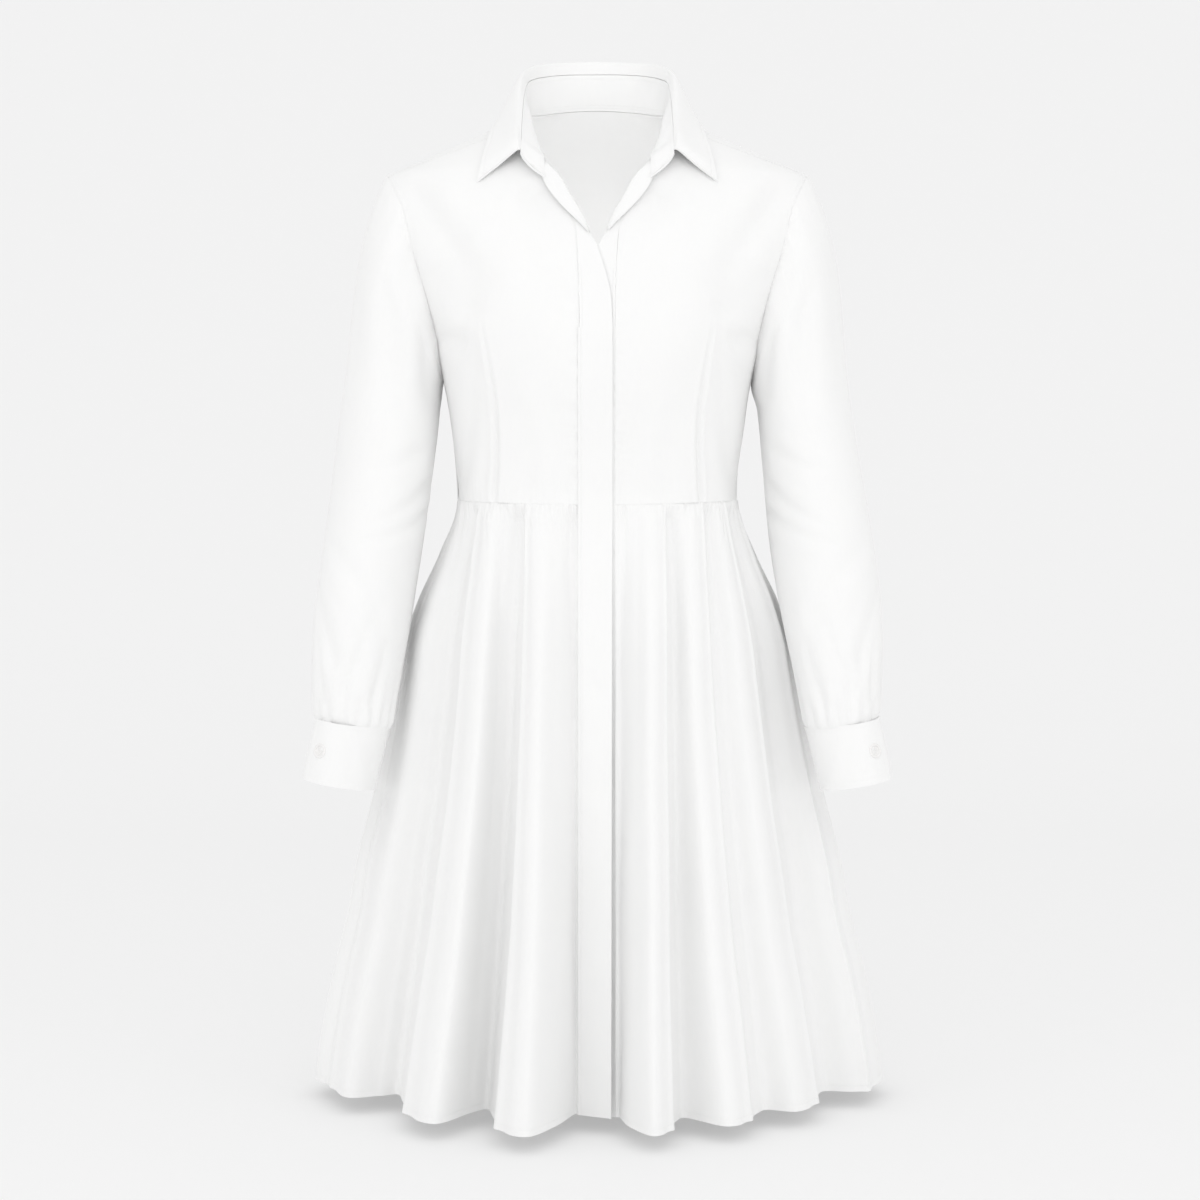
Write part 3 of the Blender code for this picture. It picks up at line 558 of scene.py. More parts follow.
def cloth(name, points, wall, outwards, weld=False, middle=False):
    """A grid of points made cloth; outwards says which way the grid faces."""
    rows, columns = points.shape[0], points.shape[1]
    bpy.ops.object.select_all(action="DESELECT")
    bpy.ops.mesh.primitive_grid_add(x_subdivisions=columns - 1, y_subdivisions=rows - 1, size=1.0)
    thing = bpy.context.object
    thing.name = name
    mesh = thing.data
    mesh.name = name
    mesh.vertices.foreach_set("co", np.ascontiguousarray(points, float).reshape(-1))
    across = np.linalg.norm(np.diff(points, axis=1), axis=-1).mean(axis=0)
    down = np.linalg.norm(np.diff(points, axis=0), axis=-1).mean(axis=1)
    u = np.concatenate([[0.0], np.cumsum(across)])[None, :].repeat(rows, axis=0)
    v = np.concatenate([[0.0], np.cumsum(down)])[:, None].repeat(columns, axis=1)
    corner = np.empty(len(mesh.loops), dtype=np.int64)
    mesh.loops.foreach_get("vertex_index", corner)
    uv = np.stack([u.reshape(-1)[corner], v.reshape(-1)[corner]], axis=-1)
    mesh.uv_layers.active.data.foreach_set("uv", uv.reshape(-1))
    if not outwards:
        mesh.flip_normals()
    mesh.update()
    if weld:
        bpy.ops.object.mode_set(mode="EDIT")
        bpy.ops.mesh.select_all(action="SELECT")
        bpy.ops.mesh.remove_doubles(threshold=0.00002)
        bpy.ops.object.mode_set(mode="OBJECT")
    thicken = thing.modifiers.new("wall", "SOLIDIFY")
    thicken.thickness = wall
    thicken.offset = 0.0 if middle else -1.0
    thicken.use_even_offset = False
    bpy.ops.object.modifier_apply(modifier="wall")
    bpy.ops.object.shade_smooth_by_angle(angle=math.radians(50.0))
    return thing


def grid(across, down):
    return np.meshgrid(np.linspace(0.0, 1.0, across + 1), np.linspace(0.0, 1.0, down + 1))


def stitches(name, runs, material, radius=0.00022):
    """Joined copies of one stitch, along runs of points that lie on cloth facing the ups."""
    centres, rights, lifts, lines = [], [], [], []
    for points, ups in runs:
        points, ups = np.asarray(points, float), np.asarray(ups, float)
        gaps = np.linalg.norm(np.diff(points, axis=0), axis=1)
        along = np.concatenate([[0.0], np.cumsum(gaps)])
        count = max(int(along[-1] / STITCH_PITCH), 1)
        at = (np.arange(count) + 0.5) * along[-1] / count

        def spots(values, places):
            return np.stack([np.interp(places, along, values[:, i]) for i in range(3)], axis=-1)

        line = spots(points, at + 0.0005) - spots(points, at - 0.0005)
        line /= np.linalg.norm(line, axis=-1)[:, None]
        up = spots(ups, at)
        up -= line * (up * line).sum(axis=-1)[:, None]
        up /= np.linalg.norm(up, axis=-1)[:, None]
        centres.append(spots(points, at) + up * 0.00005)
        rights.append(np.cross(up, line) * radius)
        lifts.append(up * radius)
        lines.append(line * STITCH_LENGTH / 2.0)
    every = (centres, rights, lifts, lines)
    centre, right, lift, line = (np.concatenate(values)[:, None] for values in every)
    bpy.ops.object.select_all(action="DESELECT")
    bpy.ops.mesh.primitive_uv_sphere_add(segments=4, ring_count=4, radius=1.0)
    thing = bpy.context.object
    thing.name = name
    thing.data.name = name
    one = np.array([list(vertex.co) for vertex in thing.data.vertices])[None]
    repeat = thing.modifiers.new("repeat", "ARRAY")
    repeat.count = len(centre)
    bpy.ops.object.modifier_apply(modifier="repeat")
    placed = centre + one[..., :1] * right + one[..., 1:2] * lift + one[..., 2:] * line
    thing.data.vertices.foreach_set("co", placed.reshape(-1))
    thing.data.update()
    bpy.ops.object.shade_smooth()
    thing.data.materials.append(material)
    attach(thing, "root")
    return thing


# ---------------------------------------------------------------- materials
class Strand:
    """One shader value, with arithmetic."""

    def __init__(self, tree, socket):
        self.tree = tree
        self.socket = socket

    def apply(self, operation, first, second=None):
        node = self.tree.nodes.new("ShaderNodeMath")
        node.operation = operation
        for slot, value in enumerate((first, second)):
            if isinstance(value, Strand):
                self.tree.links.new(value.socket, node.inputs[slot])
            elif value is not None:
                node.inputs[slot].default_value = value
        return Strand(self.tree, node.outputs[0])

    def __add__(self, other):
        return self.apply("ADD", self, other)

    __radd__ = __add__

    def __sub__(self, other):
        return self.apply("SUBTRACT", self, other)

    def __rsub__(self, other):
        return self.apply("SUBTRACT", other, self)

    def __mul__(self, other):
        return self.apply("MULTIPLY", self, other)

    __rmul__ = __mul__

    def __pow__(self, other):
        return self.apply("POWER", self, other)

    def sine(self):
        return self.apply("SINE", self)


class Finish:
    """A material under construction."""

    def __init__(self, name):
        self.material = bpy.data.materials.new(name)
        self.material.use_nodes = True
        self.tree = self.material.node_tree
        self.shader = self.tree.nodes["Principled BSDF"]

    def node(self, kind, settings=None, **sockets):
        node = self.tree.nodes.new(kind)
        for key, value in (settings or {}).items():
            setattr(node, key, value)
        for key, value in sockets.items():
            numbered = key[0] == "i" and key[1:].isdigit()
            socket = node.inputs[int(key[1:]) if numbered else key.replace("_", " ")]
            if isinstance(value, Strand):
                self.tree.links.new(value.socket, socket)
            else:
                socket.default_value = value
        return node

    def out(self, node, name=0):
        return Strand(self.tree, node.outputs[name])

    def noise(self, place, scale, **sockets):
        kind = {"noise_dimensions": "3D"}
        where = self.out(place, "Object")
        return self.out(self.node("ShaderNodeTexNoise", kind, Vector=where, Scale=scale, **sockets))

    def blend(self, share, first, second):
        kind = {"data_type": "RGBA", "blend_type": "MIX"}
        colours = {"i6": (*first, 1.0), "i7": (*second, 1.0)}
        return self.out(self.node("ShaderNodeMix", kind, i0=share, **colours), 2)

    def drive(self, socket, value):
        self.tree.links.new(value.socket, self.shader.inputs[socket])


def poplin(name, tint=(0.92, 0.92, 0.915), weave=0.00042, crumple=1.0):
    """Plain-weave cotton: crossed threads, a few slubs, soft handling marks."""
    look = Finish(name)
    place = look.node("ShaderNodeTexCoord")
    parts = look.node("ShaderNodeSeparateXYZ", i0=look.out(place, "UV"))
    u, v = look.out(parts, "X"), look.out(parts, "Y")
    turn = 2.0 * math.pi / weave
    threads = (u * turn).sine() * (v * turn).sine()
    soft = look.noise(place, 26.0, Detail=3.0, Roughness=0.55)
    fine = look.noise(place, 210.0, Detail=2.0, Roughness=0.6)
    slub_place = look.node("ShaderNodeMapping", {"vector_type": "POINT"}, i0=look.out(place, "UV"),
                           Scale=(900.0, 60.0, 1.0))
    slubs = look.out(look.node("ShaderNodeTexNoise", {"noise_dimensions": "2D"},
                               Vector=look.out(slub_place), Scale=1.0, Detail=1.0), 0)
    shade = (soft * 0.5 + slubs * 0.35 + fine * 0.15 - 0.5) * 1.6 + 0.5
    duller = (tint[0] * 0.975, tint[1] * 0.975, tint[2] * 0.978)
    look.drive("Base Color", look.blend(shade, duller, tint))
    look.drive("Roughness", 0.76 + (fine - 0.5) * 0.16 + threads * 0.03)
    handled = soft * (0.00070 * crumple) + fine * (0.00010 * crumple)
    relief = handled + threads * 0.00003 + slubs * 0.00004
    bump = look.node("ShaderNodeBump", Strength=0.55, Distance=1.0, Height=relief)
    look.drive("Normal", look.out(bump))
    look.shader.inputs["Specular IOR Level"].default_value = 0.25
    return look.material


def thread():
    look = Finish("sewing_thread")
    place = look.node("ShaderNodeTexCoord")
    twist = look.noise(place, 2600.0, Detail=1.0)
    look.drive("Base Color", look.blend(twist, (0.86, 0.86, 0.855), (0.93, 0.93, 0.925)))
    look.drive("Roughness", 0.5 + twist * 0.2)
    return look.material


def shell_button():
    look = Finish("pearly_button")
    place = look.node("ShaderNodeTexCoord")
    cloud = look.noise(place, 320.0, Detail=3.0, Distortion=1.2)
    look.drive("Base Color", look.blend(cloud, (0.80, 0.79, 0.78), (0.93, 0.92, 0.91)))
    look.drive("Roughness", 0.22 + cloud * 0.12)
    bump = look.node("ShaderNodeBump", Strength=0.2, Distance=1.0, Height=cloud * 0.00006)
    look.drive("Normal", look.out(bump))
    look.shader.inputs["Coat Weight"].default_value = 0.35
    look.shader.inputs["Coat Roughness"].default_value = 0.15
    return look.material


POPLIN_LOOK = poplin("white_poplin")
BAND_LOOK = poplin("pressed_poplin", crumple=0.5)
THREAD_LOOK = thread()
BUTTON_LOOK = shell_button()


def finished(thing, material, nodes):
    thing.data.materials.append(material)
    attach(thing, "root")
    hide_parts(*nodes)


SIDES = (("right", -1.0), ("left", 1.0))
topstitch, collar_marks = [], []


# ---------------------------------------------------------------- bodice
def bodice():
    for word, side in SIDES:
        u, v = grid(110, 150)
        level = mix(WAIST_SIDE, SHOULDER_TIP, v)
        points = front_point(side, u, level)
        out = normals_of(points) * side
        x, z = points[..., 0], points[..., 2]
        move = creased(side * x, z, CREASES_FRONT)
        # gathers just above the waist seam and pulls beside the placket stitching
        low = np.exp(-(v / 0.05))
        move += 0.0003 * low * ripple(1.0 + side, x * 700.0, v * 9.0)
        beside = np.exp(-(u / 0.05) ** 2) * smooth((0.62 - v) / 0.1)
        move += 0.0006 * beside * ripple(4.0 + side, z * 720.0, u * 20.0)
        move += 0.0009 * ripple(7.0 + side, x * 42.0, z * 34.0) * smooth((-0.07 - level) / 0.05)
        # turned and stitched strip along the armhole, widest at the shoulder
        strip = np.clip((level + 0.150) / 0.09, 0.0, 1.0) * 0.0085
        width = np.linalg.norm(points[:, -1] - points[:, 0], axis=-1)[:, None] * (1.0 - u)
        move += 0.0009 * smooth((strip - width) / 0.0012 + 0.5) * smooth((level + 0.155) / 0.02)
        hold = smooth(u / 0.015)
        points = settled(points + out * (move * hold)[..., None])
        name = "front_" + word
        piece = cloth(name + "_poplin", points, POPLIN, outwards=side > 0.0)
        finished(piece, POPLIN_LOOK, [name])
        row = points[82:, -3] + out[82:, -3] * 0.0001
        topstitch.append((row[::2], out[82:, -3][::2]))
        seam = points[-3, :] + out[-3, :] * 0.0001
        topstitch.append((seam[::2], out[-3, ::2]))

    u, v = grid(170, 120)
    level = mix(WAIST_SIDE, 0.0, v)
    points = back_point(2.0 * u - 1.0, level)
    out = -normals_of(points)
    x, z = points[..., 0], points[..., 2]
    move = creased(x, z, CREASES_BACK)
    low = np.exp(-(v / 0.05))
    move += 0.0004 * low * ripple(2.5, x * 700.0, v * 9.0)
    move += 0.0011 * ripple(9.0, x * 38.0, z * 30.0) * smooth((-0.07 - level) / 0.05)
    points = settled(points + out * move[..., None])
    piece = cloth("back_bodice_poplin", points, POPLIN, outwards=False)
    finished(piece, POPLIN_LOOK, ["back_bodice"])


# ---------------------------------------------------------------- sleeves and cuffs
def sleeves():
    for word, side in SIDES:
        u, v = grid(150, 140)
        degrees = 360.0 * u
        place = v
        points = sleeve_point(side, degrees, place)
        first = points[1] - points[0]
        points[0] -= first / np.linalg.norm(first, axis=-1)[..., None] * 0.0006
        out = normals_of(points)
        out[:, 0] = out[:, -1] = (out[:, 1] + out[:, -2]) / 2.0
        middle_x = side * read(SLEEVE, "centre_x", place, "place")
        ring = np.stack([middle_x, read(SLEEVE, "centre_y", place, "place")], axis=-1)
        facing = ((points[..., :2] - ring) * out[..., :2]).sum()
        if facing < 0.0:
            out = -out
        around = np.where(degrees > 180.0, degrees - 360.0, degrees) * 0.33 / 360.0
        down = v * 0.545
        move = creased(around, down, CREASES_SLEEVE)
        near_cuff = np.exp(-(1.0 - v) / 0.045)
        turn = np.radians(degrees)
        gather = np.sin(turn * 17.0 + 1.2 * np.sin(turn * 3.0 + side))
        move += near_cuff * (0.0016 * gather + 0.0012) * smooth((1.0 - v) / 0.012)
        move += 0.0014 * np.sin(turn * 2.0 + 9.0 * v + side) * smooth(v / 0.15)
        near_head = np.exp(-v / 0.03)
        move += 0.0008 * near_head * np.sin(turn * 23.0) * (0.5 + 0.5 * np.cos(turn))
        move *= smooth(v / 0.02)
        points = settled(points + out * move[..., None])
        points[:, -1] = points[:, 0]
        name = "sleeve_" + word
        piece = cloth(name + "_poplin", points, POPLIN, outwards=side < 0.0, weld=True)
        finished(piece, POPLIN_LOOK, [name])

        u, v = grid(200, 24)
        turn = 360.0 + CUFF_UNDER
        turned = u * turn
        lapped = smooth((turned - turn + CUFF_UNDER + 50.0) / 44.0)
        points = ring_point(CUFF, side, CUFF_LAP + CUFF_UNDER - turned, v, out=CUFF_LAYER * lapped)
        out = normals_of(points)
        if ((points[..., :2] - points[..., :2].mean(axis=(0, 1))) * out[..., :2]).sum() < 0.0:
            out = -out
        edge = np.minimum(np.minimum(v, 1.0 - v) * 0.058, np.minimum(u, 1.0 - u) * 0.236)
        groove = np.exp(-(((edge - 0.0052) / 0.0009) ** 2))
        move = -0.00035 * groove + 0.0005 * ripple(3.0, u * 30.0, v * 4.0)
        points = settled(points + out * move[..., None])
        name = "cuff_" + word
        piece = cloth(name + "_poplin", points, CUFF_CLOTH, outwards=side > 0.0)
        finished(piece, BAND_LOOK, [name])
        top, bottom = 2, 22
        topstitch.append((points[top, 5:-5], out[top, 5:-5]))
        topstitch.append((points[bottom, 5:-5], out[bottom, 5:-5]))
        topstitch.append((points[top:bottom, -5], out[top:bottom, -5]))


# ---------------------------------------------------------------- skirt
def skirt():
    for name, folds, sign, across, flat in (
        ("skirt_front_right", FOLDS_RIGHT, -1.0, 190, (0.574, 0.573, 0.2218)),
        ("skirt_front_left", FOLDS_LEFT, 1.0, 190, (0.527, 0.573, 0.2087)),
        ("skirt_back", FOLDS_BACK, 1.0, 230, (1.158, 0.58, 0.454)),
    ):
        u, v = grid(across, 120)
        drop = v**1.25
        points = skirt_point(folds, u, drop, sign)
        out = normals_of(points)
        facing = bool(((points[..., :2] - [0.0, 0.02]) * out[..., :2]).sum() >= 0.0)
        out = out if facing else -out
        hem = skirt_point(folds, u[-1], np.ones(across + 1), sign)
        radius = np.hypot(hem[:, 0] / 1.25, hem[:, 1] - 0.02)
        wide = 41
        padded = np.pad(radius, wide // 2, mode="edge")
        swell = radius - np.convolve(padded, np.ones(wide) / wide, mode="valid")
        swell = swell / np.abs(swell).max()
        start = smooth(drop / 0.030) * np.exp(-drop / 0.16)
        move = 0.0075 * swell[None, :] * start
        phase = u * len(folds["waist"])
        below_seam = np.exp(-drop / 0.035) * smooth(drop / 0.004)
        move += 0.0009 * below_seam * ripple(5.0 + sign, phase * 8.0, drop * 20.0)
        move += 0.0008 * smooth(drop / 0.12) * ripple(3.0 + sign, phase * 0.9, drop * 6.0)
        stations = u * (len(folds["waist"]) - 1)
        for station in CREST_EDGES[len(folds["waist"]), sign]:
            ridge = np.exp(-(((stations - station) / 0.10) ** 2))
            hollow = np.exp(-(((stations - station - 0.42) / 0.20) ** 2))
            move += (0.0013 * ridge - 0.0030 * hollow) * smooth(drop / 0.03)
        for x in GATHERS_BACK if name == "skirt_back" else GATHERS_FRONT:
            pinch = np.exp(-(((points[..., 0] - x) / 0.0017) ** 2))
            move -= 0.0022 * pinch * np.exp(-drop / 0.045) * smooth(drop / 0.005)
        move -= 0.0009 * np.exp(-drop / 0.0022)
        near_hem = (1.0 - drop) * 0.56
        move += 0.0004 * smooth((0.0065 - near_hem) / 0.0012)
        points = settled(points + out * move[..., None])
        piece = cloth(name + "_poplin", points, POPLIN, outwards=facing)
        finished(piece, POPLIN_LOOK, [name])
        row = int(np.argmin(np.abs(near_hem[:, 0] - 0.0055)))
        topstitch.append((points[row], out[row]))


# ---------------------------------------------------------------- plackets
SKIRT_ROWS, BODICE_ROWS, BAND_ROWS = 100, 40, 70


def placket(tab, folds, beyond, out, across, side):
    blocks = []
    for drop in np.linspace(1.0, 0.0, SKIRT_ROWS):
        start = skirt_point(folds, np.array([0.0]), np.array([drop]), side)[0]
        spread = float(read(SPREAD, "side_share", np.array([drop]), "drop")[0])
        sewn_edge = side * PLACKET_EDGE - (LAPPED if side < 0.0 else -0.0001)
        x = mix(sewn_edge, beyond - (0.0015 * spread if side < 0.0 else 0.0), across)
        end_y = start[1] - 0.0150 * spread
        if side > 0.0:
            other = skirt_point(FOLDS_RIGHT, np.array([0.0]), np.array([drop]), -1.0)[0]
            end_y = other[1] + 0.0030 * spread
        y = mix(start[1], end_y, across)
        edge_y = on_front(np.array([side * PLACKET_EDGE]), WAIST_SIDE)[0, 1]
        form = on_front(x, WAIST_SIDE)[:, 1] - edge_y
        y = y + form * max(0.0, 1.0 - drop / 0.4)
        blocks.append(np.stack([x, y - out, np.full(len(across), start[2])], axis=-1))
    for level in np.linspace(-0.3740, -0.2120, BODICE_ROWS):
        x = mix(side * PLACKET_EDGE - (LAPPED if side < 0.0 else -0.0001), beyond, across)
        point = on_front(x, np.full(len(across), level))
        point[:, 1] -= out
        blocks.append(point)
    for row in np.linspace(0.0, 1.0, BAND_ROWS):
        at = np.array([row])
        sewn, roll, free = (
            np.array([read(tab, name + axis, at, "row")[0] for axis in ("_x", "_z")])
            for name in ("sewn", "roll", "free")
        )
        turned = float(smooth(np.array([(row - 0.46) / 0.16]))[0])
        proud = mix(out, BAND_PROUD, turned)
        outwards = roll - free if turned > 0.0 else roll - sewn
        outwards = outwards / max(np.linalg.norm(outwards), 1e-9)
        hinge = roll - outwards * ROLL
        spots, rises = [], []
        for k in across:
            flat = mix(sewn, roll, k)
            if k <= 0.5:
                folded, rise = mix(sewn, hinge, k / 0.5), 0.0
            elif k < 0.75:
                curl = (k - 0.5) / 0.25 * math.pi
                folded = hinge + outwards * ROLL * math.sin(curl)
                rise = ROLL * (1.0 - math.cos(curl))
            else:
                far = (k - 0.75) / 0.25
                folded, rise = mix(hinge, free, far), 2.0 * ROLL + 0.0012 * math.sin(far * math.pi)
            spots.append(mix(flat, folded, turned))
            rises.append(proud + rise * turned)
        spots = np.array(spots)
        point = on_front(spots[:, 0], spots[:, 1])
        point[:, 1] -= np.array(rises)
        blocks.append(point)
    return np.array(blocks)


def plackets():
    across = np.concatenate(
        [np.linspace(0.0, 0.5, 13), np.linspace(0.5, 0.75, 10)[1:], np.linspace(0.75, 1.0, 6)[1:]]
    )
    upper = ("placket_upper", BAND_UPPER, FOLDS_RIGHT, PLACKET_FREE, UPPER_PROUD, -1.0)
    under = ("placket_under", BAND_UNDER, FOLDS_LEFT, -0.0130, -0.0003, 1.0)
    band_start = SKIRT_ROWS + BODICE_ROWS
    for row, flat, area, first in (
        (upper, (0.037, 0.905), 0.027, 0),
        (under, (0.031, 0.905), 0.0253, band_start - 4),
    ):
        name, tab, folds, beyond, out, side = row
        points = placket(tab, folds, beyond, out, across, side)
        rows = points.shape[0]
        z = points[..., 2]
        sewn = np.exp(-((across / 0.10) ** 2))[None, :]
        dent = np.exp(-(((across - 0.06) / 0.03) ** 2))[None, :]
        pull = 0.00045 * sewn * ripple(6.0, z * 760.0, z * 200.0) - 0.0004 * dent
        wave = 0.0006 * np.sin(across * math.pi)[None, :] * ripple(8.0, z * 60.0, z * 21.0)
        front_rows = smooth((band_start - np.arange(rows)) / 8.0)[:, None]
        points[..., 1] -= (pull + wave) * front_rows
        points = settled(points)
        piece = cloth(name + "_poplin", points, BAND, outwards=side < 0.0)
        finished(piece, BAND_LOOK, [name])
        sewn_run = points[first:band_start + 23, 2]
        topstitch.append((sewn_run, np.tile([0.0, -1.0, 0.0], (len(sewn_run), 1))))


# ---------------------------------------------------------------- collar
def collar():
    u, v = grid(220, 26)
    station = 12.0 * u - 6.0
    foot, seam = collar_line("foot", station), collar_line("seam", station)
    trim = 0.0004 / np.linalg.norm(seam - foot, axis=-1)
    points = mix(foot, seam, mix(trim, 1.0 - trim * 0.2, v)[..., None])
    along = np.gradient(points, axis=1)
    along /= np.linalg.norm(along, axis=-1)[..., None]
    ends = smooth((np.abs(station) - 5.2) / 0.8)
    reach = 0.0125 * np.sqrt(np.clip(1.0 - np.abs(1.35 * v - 0.42) ** 2.4, 0.0, 1.0))
    towards = np.where(station >= 0.0, 1.0, -1.0)[..., None]
    inwards = np.array([-0.55, 0.0, 0.10]) * np.where(towards > 0.0, 1.0, [-1.0, 1.0, 1.0])
    tongue = along * towards + inwards * (1.0 - v)[..., None]
    tongue /= np.linalg.norm(tongue, axis=-1)[..., None]
    points = points + tongue * (ends * reach)[..., None]
    out = normals_of(points)
    points = settled(points + out * (0.0003 * ripple(2.0, u * 40.0, v * 3.0))[..., None])
    piece = cloth("collar_stand_poplin", points, COLLAR_CLOTH, outwards=True, middle=True)
    finished(piece, BAND_LOOK, ["collar_stand"])
    inside = out * (1.0 if (out[..., :2] * points[..., :2]).sum() < 0.0 else -1.0)
    for row in (2, 4):
        topstitch.append((points[row, 4:-4] + inside[row, 4:-4] * 0.0008, inside[row, 4:-4]))
    for column, rows in ((3, (11, 12, 13, 14)), (-4, (11, 13))):
        for row in rows:
            spot = points[row, column - 1:column + 2] + inside[row, column - 1:column + 2] * 0.0010
            collar_marks.append((spot, inside[row, column - 1:column + 2]))
    topstitch.append((points[23, 4:-4] + inside[23, 4:-4] * 0.0008, inside[23, 4:-4]))

    u, v = grid(200, 64)
    station = 12.0 * u - 6.0
    lines = np.stack([collar_line(name, station) for name in ("seam", "fold", "mid", "edge")])
    place = mix(0.025, 3.0, v)
    i = np.clip(np.floor(place).astype(int), 0, 2)
    t = (place - i)[..., None]
    rows_index, cols_index = np.indices(i.shape)

    def pick(k):
        return lines[np.clip(k, 0, 3), rows_index, cols_index]

    b, c = pick(i), pick(i + 1)
    a = np.where((i > 0)[..., None], pick(i - 1), 2.0 * b - c)
    d = np.where((i < 2)[..., None], pick(i + 2), 2.0 * c - b)
    points = through(a, b, c, d, t)
    out = normals_of(points)
    if out[40, 100, 1] < 0.0:
        out = -out
    edge = np.minimum((1.0 - v) * 0.055, np.minimum(u, 1.0 - u) * 0.46)
    groove = np.exp(-(((edge - 0.0048) / 0.0009) ** 2)) * smooth((v - 0.35) / 0.1)
    move = -0.0003 * groove + 0.0005 * ripple(1.4, u * 26.0, v * 3.0)
    points = settled(points + out * move[..., None])
    facing = normals_of(points)[40, 100, 1] > 0.0
    piece = cloth("collar_leaf_poplin", points, COLLAR_CLOTH, outwards=bool(facing), middle=True)
    finished(piece, BAND_LOOK, ["collar_leaf"])
    lifted = points + out * 0.0008
    topstitch.append((lifted[58, 2:-2], out[58, 2:-2]))
    topstitch.append((lifted[26:58, 2], out[26:58, 2]))
    topstitch.append((lifted[26:58, -3], out[26:58, -3]))


# ---------------------------------------------------------------- buttons and holes
def buttons():
    for word, side in SIDES:
        at = np.array([BUTTON_ANGLE])
        seat = Vector(ring_point(CUFF, side, at, np.array([0.48]), out=CUFF_LAYER)[0])
        ahead = Vector(ring_point(CUFF, side, at + 4.0, np.array([0.48]), out=CUFF_LAYER)[0]) - seat
        below = Vector(ring_point(CUFF, side, at, np.array([0.60]), out=CUFF_LAYER)[0]) - seat
        outwards = ahead.cross(below).normalized()
        if outwards.y > 0.0:
            outwards = -outwards
        bpy.ops.object.select_all(action="DESELECT")
        bpy.ops.mesh.primitive_cylinder_add(vertices=48, radius=BUTTON_RADIUS, depth=0.0022)
        button = bpy.context.object
        button.name = "cuff_button_" + word + "_shell"
        bpy.ops.object.mode_set(mode="EDIT")
        bpy.ops.mesh.select_mode(type="FACE")
        bpy.ops.mesh.select_all(action="DESELECT")
        bpy.ops.object.mode_set(mode="OBJECT")
        for face in button.data.polygons:
            face.select = face.normal.z > 0.9
        bpy.ops.object.mode_set(mode="EDIT")
        bpy.ops.mesh.inset(thickness=0.0011, depth=0.0004)
        bpy.ops.mesh.inset(thickness=0.0010, depth=-0.0002)
        bpy.ops.mesh.inset(thickness=0.0005, depth=-0.0009)
        bpy.ops.object.mode_set(mode="OBJECT")
        for k in range(4):
            turn = math.pi / 4.0 + k * math.pi / 2.0
            bpy.ops.object.select_all(action="DESELECT")
            bpy.ops.mesh.primitive_cylinder_add(
                vertices=14, radius=0.00075, depth=0.01,
                location=(0.0016 * math.cos(turn), 0.0016 * math.sin(turn), 0.0),
            )
            drill = bpy.context.object
            cut = button.modifiers.new("hole", "BOOLEAN")
            cut.operation = "DIFFERENCE"
            cut.object = drill
            cut.solver = "EXACT"
            bpy.ops.object.select_all(action="DESELECT")
            bpy.context.view_layer.objects.active = button
            button.select_set(True)
            bpy.ops.object.modifier_apply(modifier="hole")
            bpy.data.objects.remove(drill, do_unlink=True)
        soften = button.modifiers.new("soft", "BEVEL")
        soften.width = 0.00022
        soften.segments = 2
        soften.angle_limit = math.radians(40.0)
        bpy.ops.object.modifier_apply(modifier="soft")
        bpy.ops.object.shade_smooth_by_angle(angle=math.radians(40.0))
        centre = Vector(settled(seat)) + outwards * 0.0016
        rotation = outwards.to_track_quat("Z", "Y").to_matrix().to_4x4()
        rotation.translation = centre
        button.data.transform(rotation)
        button.data.materials.append(BUTTON_LOOK)
        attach(button, "root")
        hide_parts("cuff_button_" + word)
        # thread through the holes, and the visible end of the buttonhole
        runs = []
        for k in (0, 1):
            a = rotation @ Vector((-0.0016 * math.cos(math.pi / 4), (k * 2 - 1) * 0.0011, 0.0009))
            b = rotation @ Vector((0.0016 * math.cos(math.pi / 4), (k * 2 - 1) * 0.0011, 0.0009))
            runs.append(([list(a), list(a.lerp(b, 0.5)), list(b)], [list(outwards)] * 3))
        stitches("button_thread_" + word, runs, THREAD_LOOK, radius=0.00035)
        hole = []
        for k in range(9):
            angle = np.array([BUTTON_ANGLE + 11.5 + k * 0.42])
            low, high = (
                ring_point(CUFF, side, angle, np.array([place]), out=CUFF_LAYER + 0.0002)[0]
                for place in (0.485, 0.525)
            )
            hole.append((settled([low, (low + high) / 2, high]), [list(outwards)] * 3))
        stitches("cuff_buttonhole_" + word, hole, THREAD_LOOK, radius=0.00030)


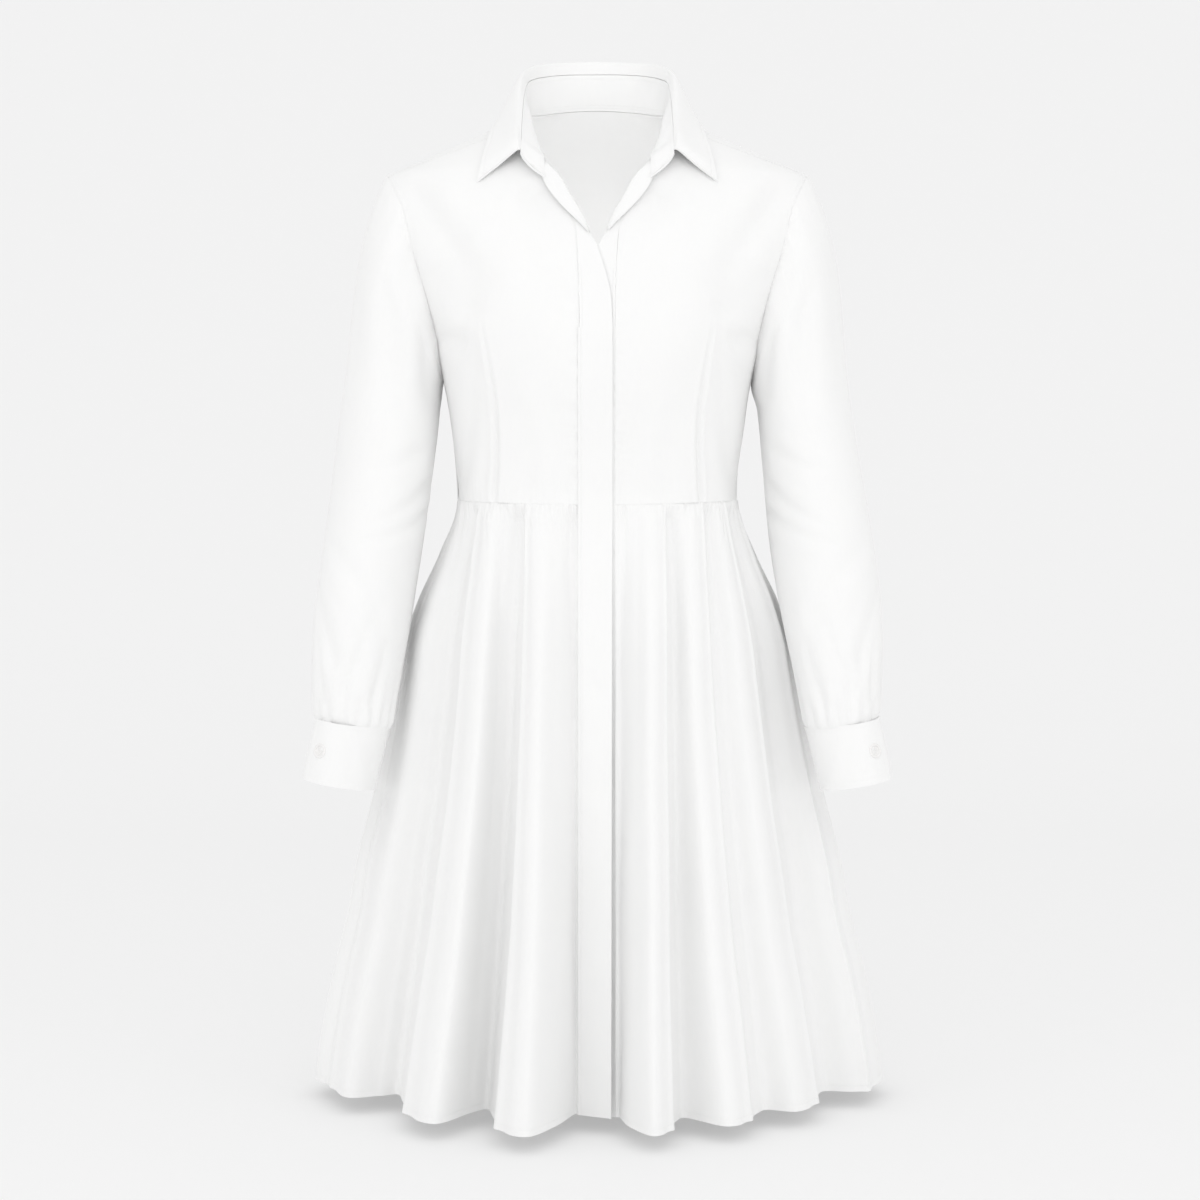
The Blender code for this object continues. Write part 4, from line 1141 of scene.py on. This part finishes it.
# ---------------------------------------------------------------- stage
def stage():
    bpy.ops.object.select_all(action="DESELECT")
    bpy.ops.mesh.primitive_grid_add(x_subdivisions=2, y_subdivisions=60, size=1.0)
    sweep = bpy.context.object
    sweep.name = "studio_sweep"
    floor = HEM - 0.016
    for vertex in sweep.data.vertices:
        along = (vertex.co.y + 0.5) * 9.0
        straight, curve = 5.5, 1.4
        if along < straight:
            y, z = along - 3.6, 0.0
        elif along < straight + curve * math.pi / 2.0:
            turn = (along - straight) / curve
            y, z = straight - 3.6 + curve * math.sin(turn), curve * (1.0 - math.cos(turn))
        else:
            y, z = straight - 3.6 + curve, curve + along - straight - curve * math.pi / 2.0
        vertex.co = (vertex.co.x * 9.0, y, floor + z)
    bpy.ops.object.shade_smooth()
    look = Finish("studio_paper")
    place = look.node("ShaderNodeTexCoord")
    grain = look.noise(place, 40.0, Detail=2.0)
    look.drive("Roughness", 0.85 + grain * 0.1)
    look.shader.inputs["Base Color"].default_value = (0.60, 0.60, 0.60, 1.0)
    look.shader.inputs["Emission Color"].default_value = (1.0, 1.0, 1.0, 1.0)
    look.shader.inputs["Emission Strength"].default_value = 0.315
    look.shader.inputs["Specular IOR Level"].default_value = 0.0
    sweep.data.materials.append(look.material)

    world = bpy.data.worlds.new("studio")
    bpy.context.scene.world = world
    world.use_nodes = True
    world.node_tree.nodes["Background"].inputs["Color"].default_value = (1.0, 1.0, 1.0, 1.0)
    world.node_tree.nodes["Background"].inputs["Strength"].default_value = 0.90

    def lamp(name, place, aim, size, power):
        data = bpy.data.lights.new(name, "AREA")
        data.shape = "RECTANGLE"
        data.size, data.size_y = size
        data.energy = power
        thing = bpy.data.objects.new(name, data)
        bpy.context.scene.collection.objects.link(thing)
        thing.location = place
        thing.rotation_euler = (Vector(aim) - Vector(place)).to_track_quat("-Z", "Y").to_euler()
        thing.visible_camera = False

    lamp("front_softbox", (0.0, -3.6, 1.6), (0.0, 0.0, -0.45), (3.2, 2.0), 14.0)
    lamp("right_softbox", (-2.4, -2.6, -0.2), (0.0, 0.0, -0.5), (1.4, 2.2), 10.0)
    lamp("left_softbox", (2.4, -2.6, -0.2), (0.0, 0.0, -0.5), (1.4, 2.2), 10.0)
    lamp("top_softbox", (0.0, -0.6, 2.6), (0.0, 0.0, -0.5), (2.6, 2.2), 2.0)
    lamp("inner_fill", (0.0, -0.060, -0.23), (0.0, 0.09, -0.03), (0.16, 0.09), 0.190)

    data = bpy.data.cameras.new("camera")
    camera = bpy.data.objects.new("camera", data)
    bpy.context.scene.collection.objects.link(camera)
    data.lens, data.sensor_width = 84.4, 36.0
    camera.location = (0.0024, -2.7, -0.315)
    aim = Vector((0.0024, 0.0, -0.4632))
    camera.rotation_euler = (aim - camera.location).to_track_quat("-Z", "Y").to_euler()
    bpy.context.scene.camera = camera
    bpy.context.scene.view_settings.view_transform = "Standard"


bodice()
sleeves()
skirt()
plackets()
collar()
buttons()
stitches("topstitching", topstitch, THREAD_LOOK)
stitches("collar_buttonhole", collar_marks, THREAD_LOOK, radius=0.00030)
stage()
